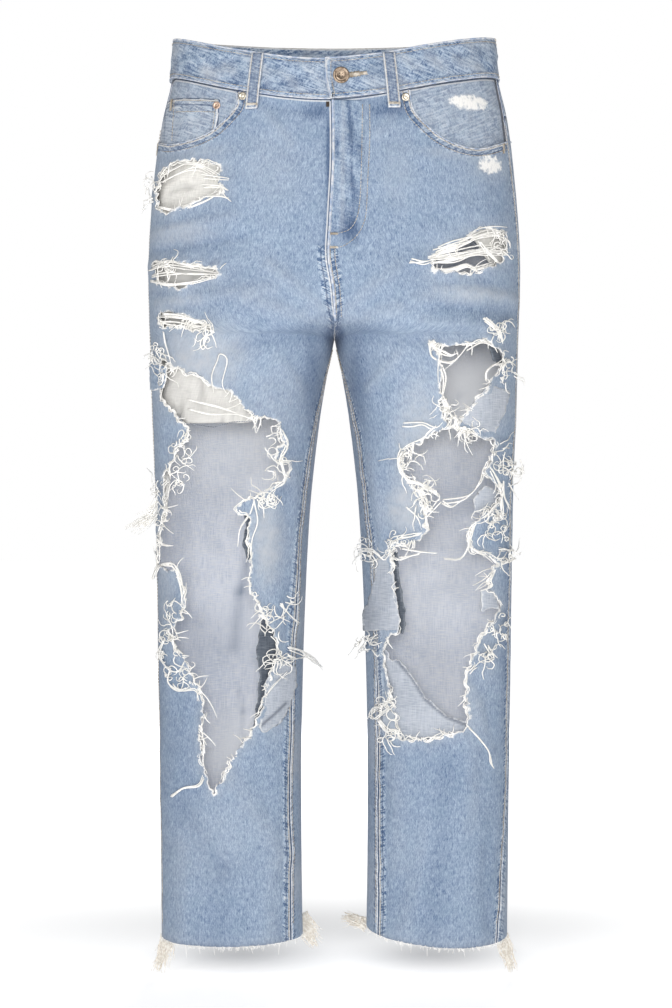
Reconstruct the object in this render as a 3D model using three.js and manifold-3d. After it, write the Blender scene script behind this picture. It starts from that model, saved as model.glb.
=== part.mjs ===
// Ripped straight-leg jeans, filled out as they are worn, hollow and open at the waist and hems.
// Millimetres. +Z is up, -Y is the front, +X is the wearer's left. The origin is the middle of the waist,
// at the height of the waistband's centre line at the sides, where the wearer holds the garment up.
//
// The cloth is one body surface: at each height a rounded section for each half of the garment.
// Above the crotch the two sections are cut where the centre seams lie, and below it each is a closed ring,
// the leg. Every panel is a wall between two offsets of that surface, on one shared grid of columns and rows,
// so a piece that lies on a panel has the panel's own facets.
import * as THREE from "three";
import Module from "manifold-3d";
import { mergeVertices } from "three/addons/utils/BufferGeometryUtils.js";

// Driving dimensions
const clothThickness = 1.2;
const bagThickness = 1;
const seamGap = 0.3; // between pieces that meet edge to edge or lie on each other
const crotchZ = -280;
const riseCurveHeight = 90; // height over which the centre seam turns under into the crotch
const bandHeight = 40;
const bandThickness = 3.2; // two layers of denim and the seam inside them
const bandProud = 1; // the waistband stands this far outside the panels
const loopWidth = 12.5;
const loopLength = 55;
const loopThickness = 1.8;
const loopRise = 2.2; // how far a loop stands off the band at its middle
const fringeLength = 6;
const yokeCentreZ = -93;
const yokeSideZ = -60;

// The body surface, as [height, value] stations from the top down
const outerEdge = [[25, 159.5], [-20, 163], [-60, 172], [-120, 179.5], [-200, 185], [-300, 183], [-450, 178],
  [-650, 175], [-910, 172]];
const innerEdge = [[-280, 0], [-320, 8], [-360, 14.5], [-440, 23.5], [-540, 29], [-660, 32.5], [-780, 33],
  [-910, 31]];
const frontDepth = [[25, 86], [-60, 96], [-130, 104], [-210, 106], [-290, 100], [-400, 87], [-600, 69], [-910, 58]];
const backDepth = [[25, 88], [-60, 100], [-130, 115], [-200, 122], [-290, 108], [-400, 90], [-600, 74], [-910, 64]];
const squareness = [[25, 2.3], [-200, 2.35], [-320, 2.15], [-910, 2.1]]; // 2 is an ellipse, more is squarer

// Seams. Angles run round the half section: 0 degrees is the outer side, 90 the front, 180 the inner side.
const inseam = [[-280, 180], [-320, 168], [-380, 156], [-480, 150], [-910, 150]];
const flyEdge = [[-50, -2.5], [-110, -2], [-170, -5], [-205, -6.5], [-235, -2], [-262, 0]];

// The two sides. A cut-off hem has its height at the side, how much it rises from the inner side to the outer,
// and how much lower the front and the back hang.
const right = {
  sign: -1,
  outseam: [[25, -3], [-200, 0], [-420, 4], [-910, 12]],
  hem: { height: -873.5, rise: -1, frontDip: 4.5, backDip: 7 },
};
const left = {
  sign: 1,
  outseam: [[25, 4], [-80, 10], [-200, 9], [-420, 20], [-700, 20], [-800, 24], [-910, 34]],
  hem: { height: -868.5, rise: -4.5, frontDip: 10, backDip: 2 },
};

const radians = THREE.MathUtils.degToRad;
const degreesOf = THREE.MathUtils.radToDeg;
const lerp = THREE.MathUtils.lerp;

// A smooth curve through the stations: a cubic on each span, with the slope at a station
// taken between its two neighbours.
function along(stations, z) {
  const last = stations.length - 1;
  if (z >= stations[0][0]) return stations[0][1];
  if (z <= stations[last][0]) return stations[last][1];
  const i = stations.findIndex(([height]) => height < z) - 1;
  const slope = (k) => {
    const [a, b] = [stations[Math.max(k - 1, 0)], stations[Math.min(k + 1, last)]];
    return (b[1] - a[1]) / (b[0] - a[0]);
  };
  const [[z0, v0], [z1, v1]] = [stations[i], stations[i + 1]];
  const span = z1 - z0;
  const t = (z - z0) / span;
  return v0 * (1 + 2 * t) * (1 - t) ** 2 + slope(i) * span * t * (1 - t) ** 2 +
    v1 * t * t * (3 - 2 * t) + slope(i + 1) * span * t * t * (t - 1);
}

// The half section at a height: its centre's distance from x = 0, its half width and its squareness.
// Above the crotch the centre moves in towards x = 0 and the half width grows, so the centre seam cuts it.
function section(z) {
  const outer = along(outerEdge, z);
  const power = along(squareness, z);
  if (z < crotchZ) {
    const inner = along(innerEdge, z);
    return { centre: (outer + inner) / 2, half: (outer - inner) / 2, power };
  }
  const share = (1 - Math.min(1, (z - crotchZ) / riseCurveHeight)) ** 1.5;
  const half = outer / (1 + share);
  return { centre: outer - half, half, power };
}

const depth = (z, front) => along(front ? frontDepth : backDepth, z);

// A point of the body surface, at an angle round the half section and a height
function bodyPoint(side, degrees, z) {
  const { centre, half, power } = section(z);
  const [c, s] = [Math.cos(radians(degrees)), Math.sin(radians(degrees))];
  const radius = (Math.abs(c / half) ** power + Math.abs(s / depth(z, s >= 0)) ** power) ** (-1 / power);
  return new THREE.Vector3(side.sign * (centre + seamGap / 2 + radius * c), -radius * s, z);
}

// The point a distance outside the body surface, measured along its normal
function offsetPoint(side, degrees, z, distance) {
  const round = bodyPoint(side, degrees + 0.4, z).sub(bodyPoint(side, degrees - 0.4, z));
  const up = bodyPoint(side, degrees, z + 0.5).sub(bodyPoint(side, degrees, z - 0.5));
  const inward = round.cross(up).multiplyScalar(side.sign).normalize();
  return bodyPoint(side, degrees, z).addScaledVector(inward, -distance);
}

// The angle at which the front or the back of a half section reaches x
function angleAt(side, x, z, front = true) {
  const { centre, half, power } = section(z);
  const across = side.sign * x - centre;
  const share = Math.min(1, Math.abs(across / half));
  const degrees = degreesOf(Math.atan2(depth(z, front) * (1 - share ** power) ** (1 / power), across));
  return front ? degrees : -degrees;
}

// Lines round the garment as heights over x: the waistband's top edge and its seam
function bandLine(x, front, drop) {
  const s = THREE.MathUtils.clamp(x / 160, -1, 1);
  if (front) return -13 + 31 * Math.abs(s) ** 1.55 + 7 * (s - s ** 3) - drop;
  return 25 + 2 * s ** 2 - 9 * s ** 8 - drop;
}
const bandTop = (x, front) => bandLine(x, front, 0);
const bandSeam = (x, front) => bandLine(x, front, bandHeight);

// The height of a line at an angle, found by stepping to where the body surface meets it
function heightOn(side, degrees, line) {
  let z = -30;
  for (let i = 0; i < 6; i++) z = line(bodyPoint(side, degrees, z).x, degrees >= 0);
  return z;
}

function hemHeight(side, degrees) {
  const { height, rise, frontDip, backDip } = side.hem;
  const [c, s] = [Math.cos(radians(degrees)), Math.sin(radians(degrees))];
  return height + rise * c - (s >= 0 ? frontDip * s : -backDip * s);
}

// The shared grid. Column 0 is at the side seam and the last column at the centre seam or the inseam.
const columns = 10;
const upperRows = 9; // rows above the crotch, closer together towards it
const lowerRows = 13;
const rows = upperRows + lowerRows;

function columnAngle(side, front, z, u) {
  const facing = front ? 1 : -1;
  const halfGap = facing * degreesOf(seamGap / 2 / section(z).half);
  let inner = along(inseam, z) - (front ? 0 : 360) - halfGap;
  if (z > crotchZ + 0.01) inner = angleAt(side, front ? along(flyEdge, z) : 0, z, front);
  return lerp(along(side.outseam, z) + halfGap, inner, u);
}

// A place on the front or the back of a leg: u runs from the side seam inwards, v from the waist to the hem
function legPlace(side, front) {
  const crotchV = upperRows / rows;
  return (u, v) => {
    let z = crotchZ;
    for (let i = 0; i < 6; i++) {
      const degrees = columnAngle(side, front, z, u);
      if (v > crotchV) z = lerp(crotchZ, hemHeight(side, degrees), (v - crotchV) / (1 - crotchV));
      else z = lerp(crotchZ, heightOn(side, degrees, bandSeam) - seamGap / 2, (1 - v / crotchV) ** 1.6);
    }
    return { side, degrees: columnAngle(side, front, z, u), z };
  };
}

// Shared vertices merged and every face pointing out
function closedSurface(geometry) {
  for (const name of ["normal", "uv"]) geometry.deleteAttribute(name);
  const merged = mergeVertices(geometry, 1e-4);
  const [position, index] = [merged.getAttribute("position"), merged.index.array];
  const corner = (k) => new THREE.Vector3().fromBufferAttribute(position, index[k]);
  let volume = 0;
  for (let i = 0; i < index.length; i += 3) volume += corner(i).dot(corner(i + 1).cross(corner(i + 2)));
  for (let i = 0; volume < 0 && i < index.length; i += 3) [index[i], index[i + 1]] = [index[i + 1], index[i]];
  return merged;
}

// A closed wall of cloth over a grid. place(u, v) gives where a point is, and reach(u, v) how far outside
// the body surface its outer face lies. Both faces are split along the same diagonals.
function wall(across, down, place, reach, thickness) {
  const points = [];
  for (const inside of [0, thickness]) {
    for (let row = 0; row <= down; row++) {
      for (let column = 0; column <= across; column++) {
        const [u, v] = [column / across, row / down];
        const { side, degrees, z } = place(u, v);
        points.push(...offsetPoint(side, degrees, z, reach(u, v) - inside).toArray());
      }
    }
  }
  const inner = (across + 1) * (down + 1);
  const at = (column, row) => row * (across + 1) + column;
  const index = [];
  for (let row = 0; row < down; row++) {
    for (let column = 0; column < across; column++) {
      const [a, b] = [at(column, row), at(column + 1, row)];
      const [c, d] = [at(column + 1, row + 1), at(column, row + 1)];
      index.push(a, b, c, a, c, d, inner + a, inner + c, inner + b, inner + a, inner + d, inner + c);
    }
  }
  const rim = (a, b) => index.push(a, inner + b, b, a, inner + a, inner + b);
  for (let column = 0; column < across; column++) {
    rim(at(column, 0), at(column + 1, 0));
    rim(at(column + 1, down), at(column, down));
  }
  for (let row = 0; row < down; row++) {
    rim(at(0, row + 1), at(0, row));
    rim(at(across, row), at(across, row + 1));
  }
  return closedSurface(new THREE.BufferGeometry()
    .setAttribute("position", new THREE.Float32BufferAttribute(points, 3)).setIndex(index));
}

const wasm = await Module();
wasm.setup();

function toSolid(geometry) {
  return new wasm.Manifold(new wasm.Mesh({
    numProp: 3,
    vertProperties: geometry.getAttribute("position").array,
    triVerts: new Uint32Array(geometry.index.array),
  }));
}

function toGeometry(solid) {
  const mesh = solid.getMesh();
  return new THREE.BufferGeometry()
    .setAttribute("position", new THREE.BufferAttribute(new Float32Array(mesh.vertProperties), 3))
    .setIndex(new THREE.BufferAttribute(mesh.triVerts, 1));
}

// A block with an outline [x, z] as seen from the front, reaching from one y to another
function block(outline, fromY, toY) {
  const shape = new THREE.Shape(outline.map(([x, z]) => new THREE.Vector2(x, z)));
  const solid = new THREE.ExtrudeGeometry(shape, { depth: toY - fromY, bevelEnabled: false });
  solid.rotateX(Math.PI / 2); // the outline's second axis becomes z, and the depth runs to -y
  solid.translate(0, toY, 0);
  return closedSurface(solid);
}

// The biggest piece left when blocks are cut out of a wall, or when it is kept only inside a block
function cutFrom(geometry, blocks, keep) {
  let solid = toSolid(geometry);
  if (keep) solid = solid.intersect(toSolid(keep));
  for (const cut of blocks) solid = solid.subtract(toSolid(cut));
  return toGeometry(solid.decompose().sort((a, b) => b.volume() - a.volume())[0]);
}

const colours = {
  denim: 0x9fb4cf, cotton: 0xe6e2d8, fray: 0xe9e8e6, copper: 0xa98d6e, steel: 0xc9c4b8,
};
const group = new THREE.Group();

function add(name, geometry, colour, roughness = 0.9, metalness = 0) {
  const mesh = new THREE.Mesh(geometry, new THREE.MeshStandardMaterial({ color: colour, roughness, metalness }));
  mesh.name = name;
  group.add(mesh);
  return mesh;
}

// Pocket scoops and rips, as outlines of [x, z] seen from the front
const scoops = {
  right: [[-96, 20], [-95, -44], [-95, -57], [-104, -68], [-116, -79], [-130, -86], [-145, -90], [-162, -91],
    [-215, -84], [-215, 20]],
  left: [[73, 20], [73, -43], [76, -62], [89, -77], [103, -88], [123, -96], [144, -97], [167, -88],
    [215, -84], [215, 20]],
};
const rips = {
  right: [
    [[-170, -119], [-159, -111], [-149, -108], [-134, -110], [-120, -112], [-109, -117], [-114, -124],
      [-112, -134], [-107, -142], [-120, -145], [-136, -150], [-149, -156], [-160, -160], [-172, -156],
      [-174, -145], [-172, -131]],
    [[-179, -208], [-163, -207], [-146, -210], [-130, -213], [-114, -216], [-109, -222], [-119, -226],
      [-135, -228], [-148, -235], [-162, -232], [-175, -223]],
    [[-170, -260], [-164, -255], [-148, -261], [-130, -268], [-119, -273], [-115, -277], [-139, -274],
      [-161, -270], [-169, -272]],
    [[-169, -301], [-152, -312], [-133, -321], [-119, -329], [-102, -335], [-93, -344], [-77, -361],
      [-58, -361], [-51, -382], [-58, -399], [-45, -404], [-48, -421], [-63, -428], [-87, -440], [-98, -450],
      [-84, -455], [-82, -490], [-83, -528], [-71, -549], [-59, -572], [-57, -587], [-69, -631], [-83, -669],
      [-94, -683], [-104, -700], [-118, -729], [-129, -698], [-135, -654], [-147, -643], [-155, -629],
      [-166, -625], [-166, -594], [-171, -567], [-171, -544], [-157, -541], [-154, -509], [-171, -501],
      [-172, -475], [-164, -460], [-164, -440], [-172, -430], [-172, -381], [-169, -361], [-168, -343],
      [-171, -327]],
  ],
  left: [
    [[95, -205], [104, -198], [119, -192], [128, -185], [134, -180], [148, -175], [164, -178], [167, -192],
      [164, -205], [152, -213], [139, -218], [125, -221], [110, -221], [94, -219]],
    [[92, -287], [106, -292], [118, -291], [131, -288], [141, -285], [148, -287], [158, -294], [165, -299],
      [162, -309], [148, -328], [128, -355], [112, -368], [106, -363], [102, -342], [103, -307]],
    [[68, -392], [104, -371], [117, -371], [129, -374], [141, -379], [153, -381], [155, -392], [151, -400],
      [143, -415], [151, -420], [159, -426], [162, -438], [154, -448], [147, -453], [133, -464], [130, -479],
      [133, -489], [147, -493], [160, -502], [154, -506], [150, -516], [151, -528], [157, -535], [162, -544],
      [149, -565], [140, -580], [134, -597], [128, -608], [129, -638], [130, -662], [119, -667], [101, -673],
      [82, -674], [64, -673], [59, -643], [55, -619], [50, -602], [50, -578], [65, -568], [62, -548],
      [58, -523], [57, -492], [59, -484], [83, -479], [90, -469], [87, -455], [83, -435], [73, -423],
      [67, -411], [66, -394]],
  ],
};
const ripY = [-220, -8]; // the rips are in the front only, and stop short of the side seams

// Pieces under the front: the denim facing seen inside a scoop, and the cotton pocket bag behind it.
// The bag on the wearer's right is the longer one, down to the middle of the thigh's big rip.
const under = {
  right: {
    facing: [[-84, 20], [-84, -66], [-98, -110], [-130, -122], [-215, -122], [-215, 20]],
    bag: [[-74, 20], [-66, -150], [-58, -356], [-84, -366], [-146, -366], [-166, -352], [-215, -320], [-215, 20]],
  },
  left: {
    facing: [[62, 20], [62, -66], [80, -108], [110, -120], [215, -122], [215, 20]],
    bag: [[70, 20], [78, -150], [84, -232], [100, -252], [150, -256], [215, -240], [215, 20]],
  },
};

for (const [side, name] of [[right, "right"], [left, "left"]]) {
  const frontPlace = legPlace(side, true);
  const backPlace = legPlace(side, false);
  const layer = (place, reach, thickness) => wall(columns, rows, place, () => reach, thickness);

  const cuts = rips[name].map((outline) => block(outline, ...ripY));
  cuts.push(block(scoops[name], -220, 60));
  add(`front_${name}`, cutFrom(layer(frontPlace, 0, clothThickness), cuts), colours.denim);

  // The back is cut along the yoke seam, which falls from the side towards the centre
  const back = layer(backPlace, 0, clothThickness);
  const yokeCut = (gap, end) => block([[-20, end], [-20, yokeCentreZ + gap], [0, yokeCentreZ + gap],
    [170, yokeSideZ + gap], [215, yokeSideZ + gap], [215, end]].map(([x, z]) => [side.sign * x, z]), -60, 220);
  add(`back_${name}`, cutFrom(back, [], yokeCut(-seamGap / 2, -950)), colours.denim);
  add(`yoke_${name}`, cutFrom(back, [], yokeCut(seamGap / 2, 60)), colours.denim);

  const facingReach = -(clothThickness + seamGap) - (bagThickness + seamGap);
  const bagReach = facingReach - clothThickness - seamGap;
  const facing = cutFrom(layer(frontPlace, facingReach, clothThickness), [], block(under[name].facing, -220, 60));
  add(`pocket_facing_${name}`, facing, colours.denim);
  const bag = cutFrom(layer(frontPlace, bagReach, bagThickness), [], block(under[name].bag, -220, -12));
  add(`pocket_bag_${name}`, bag, colours.cotton);

  // Patch pocket on the back: its mouth follows the yoke seam, and it narrows down to a shallow point
  const outline = [[12, -108], [156, -80], [150, -225], [84, -254], [22, -240]].map(([x, z]) => [side.sign * x, z]);
  const patch = layer(backPlace, clothThickness + seamGap, clothThickness);
  add(`back_pocket_${name}`, cutFrom(patch, [], block(outline, 0, 220)), colours.denim);
}

// The coin pocket lies on the facing inside the wearer's right scoop
const coinOutline = [[-174, -44], [-111, -49], [-114, -70], [-119, -96], [-174, -96]];
const coinLayer = wall(columns, rows, legPlace(right, true), () => -clothThickness - seamGap, bagThickness);
add("coin_pocket", cutFrom(coinLayer, [], block(coinOutline, -220, -6)), colours.denim);

// The fly lies on the front, from the centre seam to its curved stitching
const flyOutline = [[-30, 20], [29, 20], [27.5, -54], [24, -86], [23.5, -130], [21, -155], [12, -172], [-4, -180],
  [-30, -182]];
const flyLayer = wall(columns, rows, legPlace(left, true), () => clothThickness + seamGap, clothThickness);
add("fly", cutFrom(flyLayer, [], block(flyOutline, -220, 0)), colours.denim);

// The waistband: one strip round the waist, on the panels' columns. Its wearer's-left end laps over the
// other end at the centre front, lifted by the thickness of the end under it.
const topOf = (place, order) => order.map((i) => place(i / columns, 0));
const outward = Array.from({ length: columns + 1 }, (_, i) => columns - i);
const inward = [...outward].reverse();
const leftFront = topOf(legPlace(left, true), outward);
const lapped = leftFront.slice(1, 3).map(({ degrees, z }) => ({
  side: right, degrees: angleAt(right, bodyPoint(left, degrees, z).x, z), z,
}));
const bandColumns = [
  ...leftFront,
  ...topOf(legPlace(left, false), inward),
  ...topOf(legPlace(right, false), outward),
  ...topOf(legPlace(right, true), inward),
  ...lapped,
];
const bandLift = bandThickness + seamGap;
const bandPiece = wall(bandColumns.length - 1, 2, (u, v) => {
  const { side, degrees } = bandColumns[Math.round(u * (bandColumns.length - 1))];
  const low = heightOn(side, degrees, bandSeam) + seamGap / 2;
  return { side, degrees, z: lerp(heightOn(side, degrees, bandTop), low, v) };
}, (u) => {
  const i = Math.round(u * (bandColumns.length - 1));
  return bandProud + (i < 3 ? bandLift : i < 4 ? bandLift * 0.55 : 0);
}, bandThickness);
const waistband = add("waistband", bandPiece, colours.denim);

// The first point of a mesh that a line along y meets, from the front or from the back
function surfaceAt(mesh, x, z, front = true) {
  const ray = new THREE.Raycaster(new THREE.Vector3(x, front ? -400 : 400, z), new THREE.Vector3(0, front ? 1 : -1, 0));
  const { point, face } = ray.intersectObject(mesh)[0];
  return { point, normal: face.normal.clone() };
}

// Belt loops: a strip from the band's top edge to below its seam, arched off the band at its middle
const loops = [
  { name: "belt_loop_front_right", on: "front_right", front: true, topX: -74, lowX: -80 },
  { name: "belt_loop_front_left", on: "front_left", front: true, topX: 52.5, lowX: 58 },
  { name: "belt_loop_side_right", on: "yoke_right", front: false, topX: -108, lowX: -110 },
  { name: "belt_loop_side_left", on: "yoke_left", front: false, topX: 108, lowX: 110 },
  { name: "belt_loop_back", on: "yoke_left", front: false, topX: 2, lowX: 2 },
];
for (const { name, on, front, topX, lowX } of loops) {
  const topZ = bandTop(topX, front) - 1;
  const head = surfaceAt(waistband, topX, topZ, front);
  const foot = surfaceAt(group.getObjectByName(on), lowX, topZ - loopLength, front);
  const out = head.normal.clone().setZ(0).normalize();
  const across = new THREE.Vector3(0, 0, 1).cross(out);
  foot.point.addScaledVector(out, Math.max(0, bandProud - 0.4));
  const strip = new THREE.BoxGeometry(1, 1, 1, 1, 10, 1);
  const position = strip.getAttribute("position");
  for (let i = 0; i < position.count; i++) {
    const v = 0.5 - position.getY(i);
    const rise = 0.9 + loopRise * Math.sin(Math.PI * v) ** 0.6 + (position.getZ(i) > 0 ? loopThickness : 0);
    const point = head.point.clone().lerp(foot.point, v);
    point.addScaledVector(across, position.getX(i) * loopWidth).addScaledVector(out, rise);
    position.setXYZ(i, ...point.toArray());
  }
  add(name, closedSurface(strip), colours.denim);
}

// A turned metal piece standing on a mesh at x, z: its profile is [radius, height] from the axis out
function turned(name, on, x, z, profile, colour) {
  const { point, normal } = surfaceAt(group.getObjectByName(on), x, z);
  const lathe = new THREE.LatheGeometry(profile.map(([r, h]) => new THREE.Vector2(r, h)), 16);
  const mesh = add(name, closedSurface(lathe), colour, 0.35, 1);
  mesh.position.copy(point).addScaledVector(normal, seamGap);
  mesh.quaternion.setFromUnitVectors(new THREE.Vector3(0, 1, 0), normal);
}

const buttonProfile = [[0, 0], [3, 0], [3, 0.6], [7.6, 1], [8.1, 1.8], [7.6, 2.8], [6, 3.1], [5.2, 2.4], [0, 2.2]];
const rivetProfile = [[0, 0], [3.9, 0], [4.2, 0.5], [3.6, 1.1], [2.2, 1.3], [1.6, 0.9], [0, 0.8]];
turned("button", "waistband", 6.3, -31, buttonProfile, colours.copper);
turned("rivet_right", "front_right", -89, -48.6, rivetProfile, colours.steel);
turned("rivet_left", "front_left", 68.8, -50.2, rivetProfile, colours.steel);
turned("rivet_coin", "coin_pocket", -114.5, -56, rivetProfile, colours.copper);

// The end of the zip's slider, showing beside the top of the fly
const slider = add("zip_slider", new THREE.BoxGeometry(3.2, 1.1, 5), colours.copper, 0.4, 1);
slider.position.copy(surfaceAt(group.getObjectByName("front_right"), -6.5, -58).point).y -= 1;

// Frayed hems: a short fringe all round each leg, on the panels' columns
for (const [side, name] of [[right, "right"], [left, "left"]]) {
  const frontPlace = legPlace(side, true);
  const backPlace = legPlace(side, false);
  const hem = [...inward.map((i) => frontPlace(i / columns, 1)), ...outward.map((i) => backPlace(i / columns, 1))];
  const ring = (low, inside) => hem.map(({ degrees, z }) =>
    offsetPoint(side, degrees, z - seamGap - (low ? fringeLength : 0), inside ? -1.1 : -0.1));
  const rings = [ring(false, false), ring(false, true), ring(true, true), ring(true, false)];
  const index = [];
  for (let i = 0; i < hem.length; i++) {
    const next = (i + 1) % hem.length;
    for (let k = 0; k < 4; k++) {
      const [a, b] = [k * hem.length, ((k + 1) % 4) * hem.length];
      index.push(a + i, a + next, b + next, a + i, b + next, b + i);
    }
  }
  const fringe = new THREE.BufferGeometry()
    .setAttribute("position", new THREE.Float32BufferAttribute(rings.flat().flatMap((p) => p.toArray()), 3))
    .setIndex(index);
  add(`hem_fringe_${name}`, closedSurface(fringe), colours.fray);
}

// Tufts of long threads: a flat tapering block from a root to a tip, seen from the front
const tufts = [
  { name: "tuft_hem_right_outer", root: [-167, -885], tip: [-175, -914], y: 4, width: 15 },
  { name: "tuft_hem_right_inner", root: [-25, -864], tip: [-16, -888], y: 20, width: 12 },
  { name: "tuft_hem_left_inner", root: [25, -866], tip: [7, -857], y: 20, width: 12 },
  { name: "tuft_hem_left_outer", root: [167, -882], tip: [178, -912], y: -2, width: 13 },
  { name: "tuft_thigh_right", root: [-185, -425], tip: [-208, -478], y: -6, width: 16 },
];
for (const { name, root, tip, y, width } of tufts) {
  const axis = new THREE.Vector2(...tip).sub(new THREE.Vector2(...root)).normalize();
  const corner = (end, share) => [end[0] - axis.y * share * width, end[1] + axis.x * share * width];
  const outline = [corner(root, -0.35), corner(tip, -0.2), corner(tip, 0.2), corner(root, 0.35)];
  add(name, block(outline, y - 1, y + 1), colours.fray);
}

export default group;
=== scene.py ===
import bpy
import numpy as np
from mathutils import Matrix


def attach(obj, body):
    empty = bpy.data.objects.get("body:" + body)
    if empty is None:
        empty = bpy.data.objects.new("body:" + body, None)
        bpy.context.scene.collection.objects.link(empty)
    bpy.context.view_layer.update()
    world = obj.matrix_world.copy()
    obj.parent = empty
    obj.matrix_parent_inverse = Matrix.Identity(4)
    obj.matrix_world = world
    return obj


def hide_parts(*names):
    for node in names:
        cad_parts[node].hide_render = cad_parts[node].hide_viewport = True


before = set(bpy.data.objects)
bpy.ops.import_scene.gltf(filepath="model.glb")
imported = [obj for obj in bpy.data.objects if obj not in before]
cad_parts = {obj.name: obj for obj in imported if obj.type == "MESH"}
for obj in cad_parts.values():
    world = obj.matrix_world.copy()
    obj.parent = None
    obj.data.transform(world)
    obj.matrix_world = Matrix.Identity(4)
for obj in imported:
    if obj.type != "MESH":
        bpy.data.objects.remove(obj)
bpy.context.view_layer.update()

# Lengths are in millimetres until a mesh is made. +Z is up, -Y the front, +X the wearer's left.
# The garment is one surface, given by [height, value] stations from the top down.
body = {
    "outerEdge": [[25, 159.5], [-20, 163], [-60, 172], [-120, 179.5], [-200, 185], [-300, 183],
                  [-450, 178], [-650, 175], [-910, 172]],
    "innerEdge": [[-280, 0], [-320, 8], [-360, 14.5], [-440, 23.5], [-540, 29], [-660, 32.5],
                  [-780, 33], [-910, 31]],
    "frontDepth": [[25, 86], [-60, 96], [-130, 104], [-210, 106], [-290, 100], [-400, 87],
                   [-600, 69], [-910, 58]],
    "backDepth": [[25, 88], [-60, 100], [-130, 115], [-200, 122], [-290, 108], [-400, 90],
                  [-600, 74], [-910, 64]],
    "squareness": [[25, 2.3], [-200, 2.35], [-320, 2.15], [-910, 2.1]],
    "inseam": [[-280, 180], [-320, 168], [-380, 156], [-480, 150], [-910, 150]],
    "flyEdge": [[-50, -2.5], [-110, -2], [-170, -5], [-205, -6.5], [-235, -2], [-262, 0]],
    "crotch": -280,
    "riseCurve": 90,
    "seamGap": 0.3,
    "bandHeight": 40,
    "yoke": (-93, -60, 170),  # height at the centre and at the side, and where the side is
}
# Each leg's side of the middle, its side seam's angle by height, and its hem: height, how much higher the
# outer side is, and how far the hem dips in front and behind
legs = {
    "right": {"sign": -1, "outseam": [[25, -3], [-200, 0], [-420, 4], [-910, 12]],
              "hem": (-873.5, -1, 4.5, 7)},
    "left": {"sign": 1, "outseam": [[25, 4], [-80, 10], [-200, 9], [-420, 20], [-700, 20], [-800, 24],
                                    [-910, 34]],
             "hem": (-868.5, -4.5, 10, 2)},
}
cloth = {"denim": 1.2, "bag": 1.0, "band": 3.2, "bandProud": 1.0}


def bell(distance, wide):
    # e to the power of minus the square of distance over width: 1 in the middle, fading to both sides
    return np.exp(-(distance / wide) ** 2)


def along(stations, z):
    # A cubic on each span between stations, its slopes taken between the neighbours
    heights, values = np.array(stations, float).T
    last = len(heights) - 1
    before, after = np.maximum(np.arange(last + 1) - 1, 0), np.minimum(np.arange(last + 1) + 1, last)
    slopes = (values[after] - values[before]) / (heights[after] - heights[before])
    z = np.clip(z, heights[last], heights[0])
    i = np.clip(np.searchsorted(-heights, -z) - 1, 0, last - 1)
    span = heights[i + 1] - heights[i]
    t = (z - heights[i]) / span
    return (values[i] * (1 + 2 * t) * (1 - t) ** 2 + slopes[i] * span * t * (1 - t) ** 2
            + values[i + 1] * t * t * (3 - 2 * t) + slopes[i + 1] * span * t * t * (t - 1))


def section(z):
    # Half of the garment at a height: where its middle is, its half width and its squareness. In the leg the
    # half spans from the inner to the outer edge, and above it spreads to the centre seam
    outer, inner = along(body["outerEdge"], z), along(body["innerEdge"], z)
    share = (1 - np.clip((z - body["crotch"]) / body["riseCurve"], 0, 1)) ** 1.5
    leg = z < body["crotch"]
    half = np.where(leg, (outer - inner) / 2, outer / (1 + share))
    return outer - half, half, along(body["squareness"], z)


def bodyPoint(sign, degrees, z):
    # Superellipse round the half section, 0 degrees at the outer side, 90 in front and 180 at the inner side.
    # The radius is the sum of |cosine / half| and |sine / depth|, each to a power, to minus 1 over that power
    centre, half, power = section(z)
    c, s = np.cos(np.radians(degrees)), np.sin(np.radians(degrees))
    depth = np.where(s >= 0, along(body["frontDepth"], z), along(body["backDepth"], z))
    radius = (np.abs(c / half) ** power + np.abs(s / depth) ** power) ** (-1 / power)
    x = sign * (centre + body["seamGap"] / 2 + radius * c)
    return np.stack([x, -radius * s, z + 0 * x], -1)


def angleAt(sign, x, z, front=True):
    # The angle at which the front or the back of a half section reaches x: the superellipse solved for depth
    centre, half, power = section(z)
    across = sign * x - centre - body["seamGap"] / 2
    share = np.minimum(1, np.abs(across / half))
    depth = np.where(front, along(body["frontDepth"], z), along(body["backDepth"], z))
    degrees = np.degrees(np.arctan2(depth * (1 - share ** power) ** (1 / power), across))
    return np.where(front, degrees, -degrees)


def ripple(a, b, size, seed, waves=10):
    # Smooth unevenness: the sum of plane waves of about one size, in seeded directions and phases
    random = np.random.default_rng(seed)
    total = 0
    for turn, phase, stretch in random.uniform((0, 0, 0.7), (np.pi, 2 * np.pi, 1.6), (waves, 3)):
        total = total + np.sin((a * np.cos(turn) + b * np.sin(turn)) * 2 * np.pi / (size * stretch) + phase)
    return total / np.sqrt(waves)


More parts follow.
